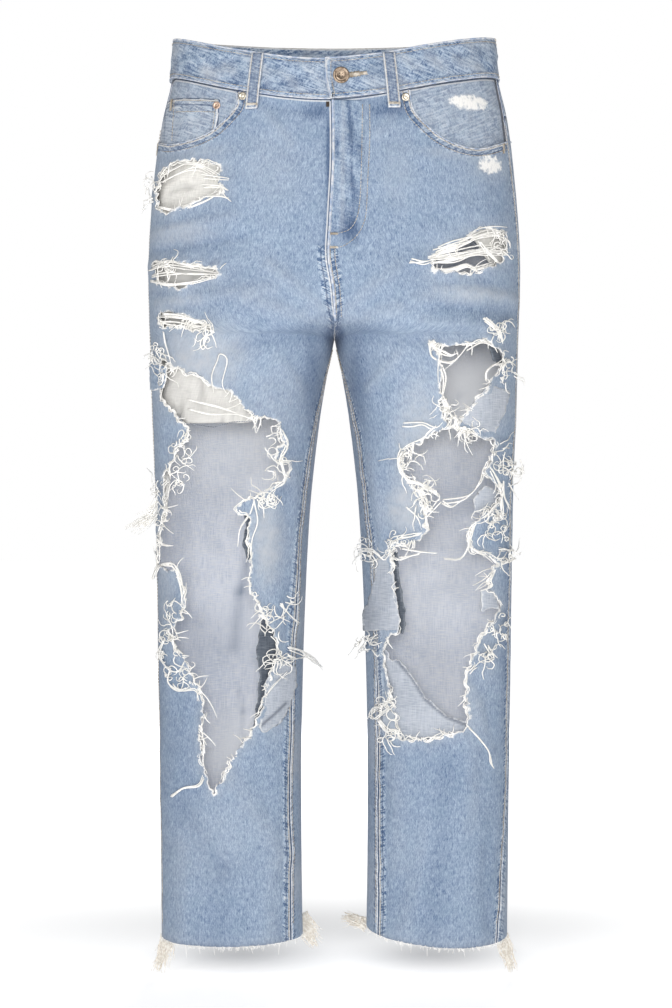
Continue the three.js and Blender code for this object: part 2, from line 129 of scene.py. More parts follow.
# Creases as [x, z, x, z, half width, height]: a rounded ridge, or a trough where the height is negative
creases = {
    True: [
        (-4, -262, -62, -214, 7, 2.2), (-6, -270, -84, -246, 8, 2.4), (-10, -276, -96, -292, 9, -2.2),
        (4, -262, 60, -216, 7, 2.0), (6, -270, 88, -248, 8, 2.4), (10, -276, 98, -288, 9, -2.2),
        (-96, -166, -178, -178, 6, 1.8), (-84, -186, -180, -196, 5, -1.6), (-60, -236, -170, -248, 7, 1.8),
        (96, -236, 176, -242, 6, 1.8), (70, -252, 178, -258, 6, -1.6), (84, -268, 170, -272, 6, 1.5),
        (20, -58, 15, -150, 2.6, -1.3), (8, -60, 5, -172, 3, 0.9), (30, -60, 27, -160, 3.5, 0.9),
        (13, -150, 22, -190, 3.5, -1.2), (-10, -60, -12, -200, 4, -0.9),
        (-70, -62, -44, -96, 6, 1.3), (62, -62, 40, -90, 6, 1.2), (-60, -58, -20, -66, 4, -0.9),
        (-34, -330, -58, -300, 6, 1.6), (34, -330, 62, -300, 6, 1.6),
        (-40, -420, -36, -560, 7, 1.8), (-30, -470, -28, -640, 5, -1.5),
        (36, -400, 46, -470, 7, 1.8), (32, -500, 34, -610, 5, -1.5),
        (-96, -718, -52, -790, 11, 1.9), (-150, -740, -112, -800, 11, -1.6), (-60, -800, -64, -880, 9, 1.5),
        (-110, -800, -116, -890, 12, -1.6), (-150, -780, -154, -890, 9, 1.4),
        (60, -700, 66, -800, 10, 1.6), (110, -700, 96, -860, 12, -1.8), (140, -640, 132, -760, 9, 1.5),
        (90, -760, 70, -860, 9, 1.4), (150, -780, 150, -860, 7, -1.2), (130, -612, 158, -700, 6, 1.2),
    ],
    False: [
        (4, -240, 70, -236, 8, 2.2), (-4, -240, -70, -236, 8, 2.2), (8, -268, 84, -284, 9, -2.4),
        (-8, -268, -84, -284, 9, -2.4), (30, -312, 110, -326, 9, 2.2), (-30, -312, -110, -326, 9, 2.2),
        (60, -440, 140, -470, 12, 2.6), (-60, -440, -140, -470, 12, 2.6), (50, -490, 130, -500, 9, -2.6),
        (-50, -490, -130, -500, 9, -2.6), (70, -530, 140, -512, 10, 2.2), (-70, -530, -140, -512, 10, 2.2),
        (100, -620, 96, -800, 14, 2), (-100, -620, -96, -800, 14, 2), (140, -650, 136, -820, 10, -1.8),
        (-64, -650, -60, -820, 10, -1.8), (64, -560, 70, -760, 9, 1.6), (-130, -560, -136, -740, 9, 1.6),
    ],
}


def capsule(x, z, x0, z0, x1, z1):
    # Distance to the line between two places, from the foot of the perpendicular kept between its ends
    dx, dz = x1 - x0, z1 - z0
    t = np.clip(((x - x0) * dx + (z - z0) * dz) / (dx * dx + dz * dz), 0, 1)
    return np.hypot(x - x0 - t * dx, z - z0 - t * dz)


def creased(x, z, front):
    # The creases alone: each falls away as a bell curve from its line
    return sum(tall * bell(capsule(x, z, *line), wide) for *line, wide, tall in creases[front])


def relief(sign, degrees, z):
    # How far the cloth is lifted: two sizes of unevenness plus the creases, times a share that falls to
    # nothing at the sides, so front and back still meet there
    x = bodyPoint(sign, degrees, z)[..., 0]
    s = np.sin(np.radians(degrees))
    height = 0.8 * ripple(x, z * 0.5, 70, 3) + 0.35 * ripple(x, z, 22, 4)
    height = height + np.where(s >= 0, creased(x, z, True), creased(x, z, False))
    return height * np.clip(np.abs(s) / 0.35, 0, 1)


def surface(sign, degrees, z, reach=0.0):
    # The body surface with its creases, moved out along its normal, the cross product of its two slopes
    sign, degrees, z = np.broadcast_arrays(np.asarray(sign, float), degrees, z)
    around = bodyPoint(sign, degrees + 0.4, z) - bodyPoint(sign, degrees - 0.4, z)
    up = bodyPoint(sign, degrees, z + 0.5) - bodyPoint(sign, degrees, z - 0.5)
    outward = -sign[..., None] * np.cross(around, up)
    outward /= np.linalg.norm(outward, axis=-1, keepdims=True)
    return bodyPoint(sign, degrees, z) + outward * (relief(sign, degrees, z) + reach)[..., None]


def onCloth(x, z, lift=0.0, front=True):
    # A place seen from the front or the back, on the outside of the cloth; beyond its edges x is kept
    x, z, lift = np.broadcast_arrays(np.asarray(x, float), z, lift)
    sign = np.where(x > (along(body["flyEdge"], z) if front else 0), 1.0, -1.0)
    place = surface(sign, angleAt(sign, x, z, front), z, lift)
    place[..., 0] = x
    return place


def bandLine(x, front, drop):
    # Height of the waistband's top edge, less a drop: in front a valley that steepens outwards, higher on the
    # wearer's left, and nearly level behind
    s = np.clip(x / 160, -1, 1)
    ahead = -13 + 31 * np.abs(s) ** 1.55 + 7 * (s - s ** 3)
    return np.where(front, ahead, 25 + 2 * s ** 2 - 9 * s ** 8) - drop


def bandHeightAt(sign, degrees, drop):
    # Height at which the body surface meets that line at an angle, by repeated substitution
    z = np.full(np.shape(degrees), -30.0)
    for _ in range(6):
        z = bandLine(bodyPoint(sign, degrees, z)[..., 0], degrees >= 0, drop)
    return z


def hemHeight(leg, degrees):
    # The hem's height round the leg: level, plus a cosine for its tilt, less a sine for each dip
    height, rise, frontDip, backDip = leg["hem"]
    c, s = np.cos(np.radians(degrees)), np.sin(np.radians(degrees))
    return height + rise * c - np.where(s >= 0, frontDip * s, -backDip * s)


def columnAngle(leg, front, z, u):
    # From the side seam (u = 0) to the centre seam, or to the inseam below the crotch, in proportion to u
    halfGap = (1 if front else -1) * np.degrees(body["seamGap"] / 2 / section(z)[1])
    inseam = along(body["inseam"], z) - (0 if front else 360) - halfGap
    centre = angleAt(leg["sign"], along(body["flyEdge"], z) if front else 0, z, front)
    inner = np.where(z > body["crotch"] + 0.01, centre, inseam)
    outer = along(leg["outseam"], z) + halfGap
    return outer + (inner - outer) * u


def legPlace(leg, front, u, v, split=9 / 22):
    # Angle and height at (u, v): v runs from the waistband seam to the hem, with the rows above the crotch
    # closing up to it as a power, and those below it even
    u, v = np.broadcast_arrays(u, v)
    crotch = body["crotch"]
    z = np.full(u.shape, float(crotch))
    for _ in range(6):
        degrees = columnAngle(leg, front, z, u)
        top = bandHeightAt(leg["sign"], degrees, body["bandHeight"]) - body["seamGap"] / 2
        upper = crotch + (top - crotch) * np.clip(1 - v / split, 0, 1) ** 1.6
        lower = crotch + (hemHeight(leg, degrees) - crotch) * (v - split) / (1 - split)
        z = np.where(v > split, lower, upper)
    return columnAngle(leg, front, z, u), z


def evenly(line, pitch):
    # The same line with points a pitch apart, interpolated over its running length
    line = np.asarray(line, float)
    run = np.r_[0, np.cumsum(np.linalg.norm(np.diff(line, axis=0), axis=1))]
    at = np.linspace(0, run[-1], max(2, int(run[-1] / pitch) + 1))
    return np.stack([np.interp(at, run, axis) for axis in line.T], -1)


def curve(points, count):
    # A smooth line through given points: cubics with their slopes between neighbours
    points = np.asarray(points, float)
    slopes = np.gradient(points, axis=0)
    at = np.linspace(0, len(points) - 1, count)
    i = np.minimum(at.astype(int), len(points) - 2)
    t = (at - i)[:, None]
    return (points[i] * (1 + 2 * t) * (1 - t) ** 2 + slopes[i] * t * (1 - t) ** 2
            + points[i + 1] * t * t * (3 - 2 * t) + slopes[i + 1] * t * t * (t - 1))


def torn(points, seed, rough=1.3):
    # A closed outline with a ragged edge: points 2 mm apart, each pushed along its normal by two ripples
    line = evenly(np.vstack([points, points[:1]]), 2.0)[:-1]
    ahead = np.roll(line, -1, 0) - np.roll(line, 1, 0)
    out = np.stack([ahead[:, 1], -ahead[:, 0]], -1) / np.linalg.norm(ahead, axis=1, keepdims=True)
    push = ripple(line[:, 0], line[:, 1], 9, seed) + 0.7 * ripple(line[:, 0], line[:, 1], 4.5, seed + 1)
    return line + out * (rough * push)[:, None]


def depthInside(outline, x, z):
    # How far inside a closed outline each place lies, and its nearest point on it: the least distance to its
    # edges, negative where a level ray crosses them an even number of times
    a, b = outline, np.roll(outline, -1, 0)
    edge = b - a
    depth, near = np.empty(len(x)), np.empty((len(x), 2))
    for start in range(0, len(x), 3000):
        part = slice(start, start + 3000)
        px, pz = x[part, None] - a[:, 0], z[part, None] - a[:, 1]
        t = np.clip((px * edge[:, 0] + pz * edge[:, 1]) / (edge ** 2).sum(1), 0, 1)
        qx, qz = px - t * edge[:, 0], pz - t * edge[:, 1]
        far = np.hypot(qx, qz)
        best = far.argmin(1)
        rows = np.arange(len(best))
        above = (z[part, None] > a[:, 1]) != (z[part, None] > b[:, 1])
        rise = np.where(edge[:, 1] == 0, 1, edge[:, 1])
        inside = (above & (px < pz * edge[:, 0] / rise)).sum(1) % 2 == 1
        depth[part] = np.where(inside, far[rows, best], -far[rows, best])
        near[part, 0] = x[part] - qx[rows, best]
        near[part, 1] = z[part] - qz[rows, best]
    return depth, near


def gridFaces(shape):
    # The four point numbers of each cell of a grid
    corner = np.arange(shape[0] * shape[1]).reshape(shape)
    cells = np.stack([corner[:-1, :-1], corner[:-1, 1:], corner[1:, 1:], corner[1:, :-1]], -1)
    return cells.reshape(-1, 4)


def cutGrid(x, z, cell, outlines, keep=False):
    # Moves grid points within half a cell of an outline on to it. Returns how deep each point lies
    # in what is cut away, the moved places, and the faces that stay
    deep, near = np.full(x.shape, -60.0), np.stack([x, z], -1)
    for outline in outlines:
        low, high = outline.min(0) - 30, outline.max(0) + 30
        within = (x > low[0]) & (x < high[0]) & (z > low[1]) & (z < high[1])
        depth, place = depthInside(outline, x[within], z[within])
        closer = depth > deep[within]
        deep[within] = np.where(closer, depth, deep[within])
        near[within] = np.where(closer[:, None], place, near[within])
    deep = -deep if keep else deep
    snapped = np.abs(deep) < cell * 0.55
    moved = np.where(snapped[..., None], near, np.stack([x, z], -1))
    quads = gridFaces(x.shape)
    cut = ((deep > 0) & ~snapped).ravel()[quads]
    middle = deep.ravel()[quads].mean(1)
    whole = quads[(cut.sum(1) == 0) & (middle < 0)]
    single = cut.sum(1) == 1
    turn = (cut[single].argmax(1)[:, None] + np.arange(1, 4)) % 4
    corners = np.take_along_axis(quads[single], turn, 1)
    corners = corners[deep.ravel()[corners].mean(1) < 0]
    return deep, moved[..., 0], moved[..., 1], [whole, corners]


def carried(sign, degrees, x, z, newX, newZ):
    # Angle and height of a grid's moved points. At the sides, where x hardly fixes the angle, they stay put
    moved = (np.abs(newX - x) + np.abs(newZ - z) > 1e-6) & (np.abs(np.sin(np.radians(degrees))) > 0.2)
    return np.where(moved, angleAt(sign, newX, newZ), degrees), np.where(moved, newZ, z)


def addMesh(name, points, faces, fields=None, uv=None):
    # One mesh from arrays: points in millimetres, and faces as arrays of point numbers
    mesh = bpy.data.meshes.new(name)
    faces = [f for f in faces if len(f)]
    corners = np.concatenate([f.ravel() for f in faces])
    sizes = np.concatenate([np.full(len(f), f.shape[1]) for f in faces])
    mesh.vertices.add(len(points))
    mesh.vertices.foreach_set("co", (np.asarray(points, np.float32) / 1000).ravel())
    mesh.loops.add(len(corners))
    mesh.loops.foreach_set("vertex_index", corners.astype(np.int32))
    mesh.polygons.add(len(sizes))
    mesh.polygons.foreach_set("loop_start", np.r_[0, np.cumsum(sizes)[:-1]].astype(np.int32))
    mesh.polygons.foreach_set("use_smooth", np.full(len(sizes), True))
    mesh.update(calc_edges=True)
    for field, values in (fields or {}).items():
        mesh.attributes.new(field, "FLOAT", "POINT").data.foreach_set("value", values.astype(np.float32))
    if uv is not None:
        layer = mesh.uv_layers.new(name="cloth")
        layer.data.foreach_set("uv", (uv[corners] / 1000).astype(np.float32).ravel())
    mesh.validate()
    piece = bpy.data.objects.new(name, mesh)
    bpy.context.scene.collection.objects.link(piece)
    return piece


def closedWall(name, outer, inner, faces, fields=None, uv=None, reverse=(0.0, 1.0)):
    # Outer face, inner face turned round, and a rim along every open edge. "reverse" says which of the
    # two shows the cloth's pale wrong side. A field is one array, or a pair for the outer and inner face
    outer, inner = outer.reshape(-1, 3), inner.reshape(-1, 3)
    used = np.unique(np.concatenate([f.ravel() for f in faces]))
    number = np.full(len(outer), -1)
    number[used] = np.arange(len(used))
    faces = [number[f] for f in faces if len(f)]
    outer, inner, count = outer[used], inner[used], len(used)
    big = faces[0]
    turned = np.cross(outer[big[:, 1]] - outer[big[:, 0]], outer[big[:, 2]] - outer[big[:, 0]])
    if (turned * (outer - inner)[big[:, 0]]).sum() < 0:
        faces = [f[:, ::-1] for f in faces]
    starts = np.concatenate([f.ravel() for f in faces])
    ends = np.concatenate([np.roll(f, -1, 1).ravel() for f in faces])
    lone = ~np.isin(starts * count + ends, ends * count + starts)
    a, b = starts[lone], ends[lone]
    rim = np.stack([b, a, a + count, b + count], -1)
    spread = {}
    for field, value in (fields or {}).items():
        first, second = value if isinstance(value, tuple) else (value, value)
        spread[field] = np.r_[first.ravel()[used], second.ravel()[used]]
    spread["inside"] = np.repeat(reverse, count)
    if uv is not None:
        uv = np.vstack([uv.reshape(-1, 2)[used]] * 2)
    return addMesh(name, np.vstack([outer, inner]), faces + [f[:, ::-1] + count for f in faces] + [rim],
                   spread, uv)


def tubes(name, paths, radius, sides=3):
    # Each path carries a small ring of points across its direction, with a face at either end
    tangent = np.gradient(paths, axis=1)
    tangent /= np.linalg.norm(tangent, axis=-1, keepdims=True) + 1e-9
    across = np.cross(tangent, (0.31, 0.9, 0.3))
    across /= np.linalg.norm(across, axis=-1, keepdims=True) + 1e-9
    upward = np.cross(tangent, across)
    turn = np.arange(sides) * 2 * np.pi / sides
    ring = across[:, :, None] * np.cos(turn)[:, None] + upward[:, :, None] * np.sin(turn)[:, None]
    radius = np.broadcast_to(radius, paths.shape[:2])
    points = paths[:, :, None] + radius[..., None, None] * ring
    index = np.arange(points.size // 3).reshape(points.shape[:3])
    a, b = index[:, :-1], index[:, 1:]
    quads = np.stack([a, np.roll(a, -1, 2), np.roll(b, -1, 2), b], -1).reshape(-1, 4)
    return addMesh(name, points.reshape(-1, 3), [quads, index[:, 0, ::-1], index[:, -1]])


def linear(r, g, b):
    # A colour as printed, 0 to 255, for the shader: the standard curve, straight near black
    return tuple(c / 255 / 12.92 if c < 10 else ((c / 255 + 0.055) / 1.055) ** 2.4 for c in (r, g, b)) + (1,)


class Wire:
    # A socket's value. Arithmetic on it adds Math nodes to its finish
    def __init__(self, finish, socket):
        self.finish, self.socket = finish, socket

    def maths(self, operation, *others, clamp=False, flip=False):
        values = [self, *others][::-1] if flip else [self, *others]
        node = self.finish.node("ShaderNodeMath", {"operation": operation, "use_clamp": clamp},
                                dict(enumerate(values)))
        return Wire(self.finish, node.outputs[0])

    def __add__(self, other):
        return self.maths("ADD", other)

    def __sub__(self, other):
        return self.maths("SUBTRACT", other)

    def __rsub__(self, other):
        return self.maths("SUBTRACT", other, flip=True)

    def __mul__(self, other):
        return self.maths("MULTIPLY", other)

    __radd__, __rmul__ = __add__, __mul__

    def clamped(self):
        # Kept from 0 to 1
        return self.maths("ADD", 0.0, clamp=True)

    def between(self, low, high):
        # 0 below low, 1 above high and smooth between them; turned round when low is above high
        turned = low > high
        node = self.finish.node("ShaderNodeMapRange", {"interpolation_type": "SMOOTHSTEP"},
                                {"Value": self, "From Min": min(low, high), "From Max": max(low, high),
                                 "To Min": 1.0 if turned else 0.0, "To Max": 0.0 if turned else 1.0})
        return Wire(self.finish, node.outputs[0])


class Finish:
    # One material and the few kinds of node it is made of
    def __init__(self, name, roughness=0.9, metallic=0.0, sheen=0.0):
        self.material = bpy.data.materials.new(name)
        self.material.use_nodes = True
        self.tree = self.material.node_tree
        self.shader = self.tree.nodes["Principled BSDF"]
        self.shader.inputs["Roughness"].default_value = roughness
        self.shader.inputs["Metallic"].default_value = metallic
        self.shader.inputs["Specular IOR Level"].default_value = 0.5 if metallic else 0.2
        self.shader.inputs["Sheen Weight"].default_value = sheen
        self.place = self.node("ShaderNodeTexCoord", {}, {}).outputs["Object"]

    def node(self, kind, settings, inputs):
        # Any node: its type, its settings, and the values or links of its sockets
        made = self.tree.nodes.new(kind)
        for key, value in settings.items():
            setattr(made, key, value)
        for key, value in inputs.items():
            value = value.socket if isinstance(value, Wire) else value
            if isinstance(value, bpy.types.NodeSocket):
                self.tree.links.new(value, made.inputs[key])
            else:
                made.inputs[key].default_value = value
        return made

    def noise(self, size, detail=3.0, place=None):
        # Cloudy values near 0.5, with features of a size in millimetres
        node = self.node("ShaderNodeTexNoise", {}, {"Vector": place or self.place, "Scale": 1000 / size,
                                                    "Detail": detail, "Roughness": 0.55})
        return Wire(self, node.outputs[0])

    def strokes(self, wide, long, turn, place, detail=1.0):
        # Noise drawn out into strokes of a width and length in millimetres, leaning by an angle
        node = self.node("ShaderNodeMapping", {"vector_type": "TEXTURE"},
                         {"Vector": place, "Rotation": (0.0, 0.0, turn), "Scale": (wide, long, 1.0)})
        return self.noise(1.0, detail, node.outputs[0])

    def mix(self, factor, first, second):
        # The first colour at 0 and the second at 1
        node = self.node("ShaderNodeMix", {"data_type": "RGBA"}, {0: factor, 6: first, 7: second})
        return Wire(self, node.outputs[2])

    def field(self, name):
        # What a piece's points carry under a name
        return Wire(self, self.node("ShaderNodeAttribute", {"attribute_name": name}, {}).outputs["Fac"])

    def done(self, colour, height=None, bump=0.3, distance=0.0006, roughness=None):
        self.tree.links.new(colour.socket, self.shader.inputs["Base Color"])
        if roughness is not None:
            self.tree.links.new(roughness.socket, self.shader.inputs["Roughness"])
        if height is not None:
            node = self.node("ShaderNodeBump", {}, {"Strength": bump, "Distance": distance, "Height": height})
            self.tree.links.new(node.outputs[0], self.shader.inputs["Normal"])
        return self.material


denimLook = {
    "dark": linear(75, 98, 131), "light": linear(162, 177, 195), "green": linear(128, 150, 168),
    # On the next line: the colour of wear and of painted light, the colour of painted shade, and the white of
    # torn yarn, also used for painted highlights
    "worn": linear(176, 180, 186), "deep": linear(56, 76, 108), "edge": linear(240, 238, 234),
    # The reverse colours are painted light, paler than the wrong side itself, for the inside seen deep
    # through the rips; the last colour on the next line is painted shade on the reverse
    "reverse": linear(214, 218, 228), "reverseDark": linear(192, 199, 213), "reverseShade": linear(140, 150, 168),
    # The next colour, near white, is wear and painted light on the inside
    "wornAndLitReverse": linear(252, 253, 255),
    "squiggles": [(6.5, 0.1), (8.0, 0.1), (7.0, -0.1)],  # size, strength
    # Width, length, lean and strength
    "strokes": [(1.05, 5.0, 0.42, 0.9), (1.05, 5.0, -0.46, 0.9), (1.0, 9.0, 0.04, 1.0), (5.0, 1.1, 0.0, 0.4)],
    "clouds": [(90, 2.0, 0.4), (26, 3.0, 0.16), (3.2, 2.0, 0.1)],  # size, detail, strength
    "pucker": 3.2, "slant": 8.0, "cross": 4.5,  # how strongly each shades a puckered seam
    "contrast": 0.95, "middle": 0.56, "bump": 0.5,
    "frayWidth": (2.0, 0.2), "frayWhite": 0.85,
}


def denimFinish(name, look):
    # Mottled light-blue cloth. Its tone is the sum of clouds, short crossing strokes and winding lines, and
    # mixes dark blue with light. It is paler where worn, white where torn, and puckered along the seams, the
    # puckers' light and dark partly the seams' fading and partly painted light and shade. It has painted
    # shade where its deep field is high (in a few places a random darker tone), painted highlights on wrinkle
    # crests and seam ridges, and painted shadow lines along the seams. The reverse is grey-white, painted
    # paler as light where it lies deep inside the legs
    f = Finish(name, sheen=0.1)
    uv = f.node("ShaderNodeUVMap", {"uv_map": "cloth"}, {}).outputs[0]
    tone, height = 0.0, 0.0
    for size, detail, much in look["clouds"]:
        tone = (f.noise(size, detail) - 0.5) * much + tone
    for wide, long, turn, much in look["strokes"]:
        stroke = f.strokes(wide, long, turn, uv)
        tone = tone + (stroke - 0.5) * much
        height = stroke * much + height
    for size, much in look["squiggles"]:
        # Winding lines, where a noise crosses its middle
        tone = tone + ((f.noise(size, 1.0) - 0.5).maths("ABSOLUTE")).between(0.05, 0.0) * much
    worn, deep, seam, tear = (f.field(key) for key in ("worn", "deep", "seam", "tear"))
    band, inside = f.field("band"), f.field("inside")
    pucker = f.noise(5, 2.0)
    slant = f.strokes(2.0, 15.0, -1.22, uv, 2.0)
    cross = f.strokes(1.4, 8.0, 0.7, uv, 1.0)
    # The puckers' light and dark: partly the seams' real fading, partly painted light and shade
    ropingAndShade = (pucker - 0.5) * look["pucker"] + (slant - 0.5) * look["slant"] + (cross - 0.5) * look["cross"]
    # Painted highlights along the crests of slanting wrinkles in the puckered band
    crestHighlight = (f.strokes(3.0, 20.0, -1.15, uv, 1.0) - 0.5).maths("ABSOLUTE").between(0.035, 0.0)
    # The deep field darkens the tone as painted shade, and the crests lighten it as painted highlight
    tone = tone + band * ropingAndShade + crestHighlight * band * 1.2 - deep * 0.5
    colour = f.mix((tone * look["contrast"] + look["middle"]).clamped(), look["dark"], look["light"])
    colour = f.mix((f.noise(16, 2.0) - 0.45).clamped() * 0.8, colour, look["green"])
    # Paler by wear, and by painted highlights on crease ridges
    colour = f.mix((worn * 0.95 + (f.noise(9, 4.0) - 0.5) * worn * 1.6).clamped(), colour, look["worn"])
    # Painted shade where the deep field is high
    colour = f.mix((deep * 0.75).clamped(), colour, look["deep"])
    # Painted highlight on the wrinkle crests
    colour = f.mix((crestHighlight * band * (slant - 0.42)).clamped() * 2.6, colour, look["edge"])
    # Painted shadow line along each seam's edge
    colour = f.mix(seam.between(1.3, 0.5) * 0.85, colour, look["deep"])
    # Painted shadow line 6 to 8 mm from the seam, in the puckered band
    colour = f.mix(seam.between(5.2, 6.2) * seam.between(7.8, 6.8) * band * 0.6, colour, look["deep"])
    # Painted highlight on a ridge 1 to 3 mm from the seam
    ridge = seam.between(0.9, 1.5) * seam.between(3.0, 2.0)
    colour = f.mix(ridge * 0.6, colour, look["edge"])
    fray = (tear + (f.noise(5, 3.0) - 0.5) * 7).between(*look["frayWidth"]) * look["frayWhite"]
    colour = f.mix(fray, colour, look["edge"])
    grain = f.strokes(1.0, 16.0, 0.0, uv) + f.noise(30, 3.0) - 0.5
    grey = f.mix(grain.between(0.3, 0.72), look["reverseDark"], look["reverse"])
    grey = f.mix((f.strokes(9.0, 0.9, 0.0, uv) - 0.4).clamped() * 1.6, grey, look["edge"])
    # Paler inside by wear, and by painted light where the back lies deep behind the rips
    grey = f.mix((worn * 0.9).clamped(), grey, look["wornAndLitReverse"])
    # Painted shade on the reverse where the deep field is high
    grey = f.mix((deep * 0.8).clamped(), grey, look["reverseShade"])
    grey = f.mix(fray, grey, look["edge"])
    colour = f.mix(inside.between(0.3, 0.7), colour, grey)
    return f.done(colour, height + pucker * band * 5, look["bump"])


# Copies of the same cloth with painted light and shade: its reverse as it shows on flaps folded out to the
# light, with a painted dark crease line, and a dark copy for edges turned under, painted as the shadow there
foldedLook = {
    "reverse": linear(170, 176, 187), "reverseDark": linear(152, 159, 171), "edge": linear(206, 208, 210),
    "reverseShade": linear(92, 98, 110), "deep": linear(92, 100, 116),
}
shadedLook = {
    "reverse": linear(84, 91, 101), "reverseDark": linear(66, 73, 84), "edge": linear(120, 126, 134),
}
denim = denimFinish("denim_cloth", denimLook)
foldedDenim = denimFinish("folded_denim", {**denimLook, **foldedLook})
shadedDenim = denimFinish("shaded_denim", {**denimLook, **shadedLook})


def clothFinish(name, base, shade, deep):
    # Plain cotton: fine crossing threads and faint clouds, darkened as painted shade by its deep field
    f = Finish(name, 0.95)
    uv = f.node("ShaderNodeUVMap", {"uv_map": "cloth"}, {}).outputs[0]
    warp = f.strokes(1.1, 12.0, 0.0, uv)
    weft = f.strokes(12.0, 1.1, 0.0, uv)
    colour = f.mix((warp * 0.5 + weft * 0.5 + (f.noise(25, 3.0) - 0.5) * 0.6).between(0.3, 0.7), shade, base)
    colour = f.mix(f.field("deep").clamped(), colour, deep)
    return f.done(colour, warp + weft, 0.35)


def threadFinish(name, base, shade, size):
    # Spun cotton thread: light and dark flecks along it
    f = Finish(name, 0.9)
    colour = f.mix(f.noise(size, 3.0).between(0.35, 0.65), shade, base)
    return f.done(colour, f.noise(1.2, 2.0), 0.4)


def metalFinish(name, base, dark, roughness):
    # Worn metal: dull stains, and small scratches in the roughness
    f = Finish(name, roughness, 1.0)
    stain = f.noise(3, 4.0).between(0.4, 0.75)
    return f.done(f.mix(stain, base, dark), f.noise(1.5, 3.0), 0.25, 0.0002,
                  f.noise(2, 3.0) * 0.35 + (roughness - 0.17))


# The third colour of the cotton is its painted shade
cotton = clothFinish("cotton_cloth", linear(228, 226, 221), linear(204, 202, 198), linear(180, 179, 177))
thread = threadFinish("white_thread", linear(255, 253, 249), linear(240, 238, 233), 9)
creamThread = threadFinish("cream_thread", linear(253, 249, 241), linear(226, 218, 206), 2.4)
tanThread = threadFinish("tan_thread", linear(216, 209, 198), linear(158, 146, 130), 7)
copper = metalFinish("copper_metal", linear(170, 152, 134), linear(104, 88, 74), 0.5)
steel = metalFinish("steel_metal", linear(216, 209, 194), linear(128, 118, 102), 0.45)
paleCopper = metalFinish("pale_copper_metal", linear(232, 204, 184), linear(150, 122, 102), 0.5)
darkMetal = metalFinish("dark_metal", linear(70, 62, 56), linear(50, 44, 40), 0.6)
greyThread = threadFinish("grey_thread", linear(150, 156, 170), linear(112, 118, 134), 7)
print("finishes ready")

# Holes, with their places seen from the front
rips = {
    "right": [
        [(-170, -119), (-159, -111), (-149, -108), (-134, -110), (-120, -112), (-109, -117), (-114, -124),
         (-112, -134), (-107, -142), (-120, -145), (-136, -150), (-149, -156), (-160, -160), (-172, -156),
         (-174, -145), (-172, -131)],
        [(-179, -208), (-163, -207), (-146, -210), (-130, -213), (-114, -216), (-109, -222), (-119, -226),
         (-135, -228), (-148, -235), (-162, -232), (-175, -223)],
        [(-170, -260), (-164, -255), (-148, -261), (-130, -268), (-119, -273), (-115, -277), (-139, -274),
         (-161, -270), (-169, -272)],
        [(-169, -301), (-152, -312), (-133, -321), (-119, -329), (-102, -335), (-93, -344), (-77, -361),
         (-58, -361), (-51, -382), (-58, -399), (-45, -404), (-48, -421), (-63, -428), (-70, -432),
         (-87, -440), (-98, -450), (-84, -455), (-82, -479), (-82, -499), (-83, -528), (-71, -549),
         (-59, -572), (-57, -587), (-61, -601), (-69, -631), (-74, -651), (-83, -669), (-94, -683),
         (-104, -700), (-110, -713), (-118, -729), (-129, -698), (-131, -668), (-128, -648), (-126, -635),
         (-135, -618), (-144, -600), (-154, -585), (-162, -571), (-150, -558), (-144, -541), (-149, -522),
         (-153, -508), (-166, -509), (-174, -503), (-174, -475), (-168, -460), (-167, -437), (-168, -418),
         (-157, -402), (-154, -390), (-143, -382), (-141, -369), (-152, -358), (-166, -345), (-168, -338),
         (-171, -327)],
    ],
    "left": [
        [(95, -205), (104, -198), (119, -192), (128, -185), (134, -180), (148, -175), (165, -178),
         (168, -192), (165, -205), (152, -213), (139, -218), (125, -221), (110, -221), (94, -219)],
        [(92, -287), (106, -292), (118, -291), (131, -288), (141, -285), (148, -287), (158, -294),
         (165, -299), (162, -309), (148, -328), (128, -355), (112, -368), (106, -363), (102, -342),
         (103, -307)],
        [(68, -392), (104, -371), (117, -371), (129, -374), (141, -379), (153, -381), (155, -392),
         (151, -400), (143, -415), (151, -420), (159, -426), (162, -438), (154, -448), (147, -453),
         (133, -464), (130, -479), (133, -489), (147, -493), (160, -502), (154, -506), (150, -516),
         (151, -528), (157, -535), (163, -544), (149, -565), (148, -571), (140, -580), (134, -597),
         (128, -608), (129, -638), (130, -662), (119, -667), (101, -673), (82, -674), (64, -673),
         (62, -663), (59, -643), (55, -632), (55, -619), (50, -602), (50, -578), (64, -569), (62, -548),
         (58, -523), (57, -492), (59, -484), (83, -479), (90, -469), (87, -455), (83, -435), (73, -423),
         (67, -411), (66, -394)],
    ],
}
scoops = {
    "right": [(-95, -44), (-95, -57), (-104, -68), (-116, -79), (-130, -86), (-145, -90), (-162, -91),
              (-178, -84)],
    "left": [(73, -43), (76, -62), (89, -77), (103, -88), (123, -96), (144, -97), (167, -88), (180, -80)],
}
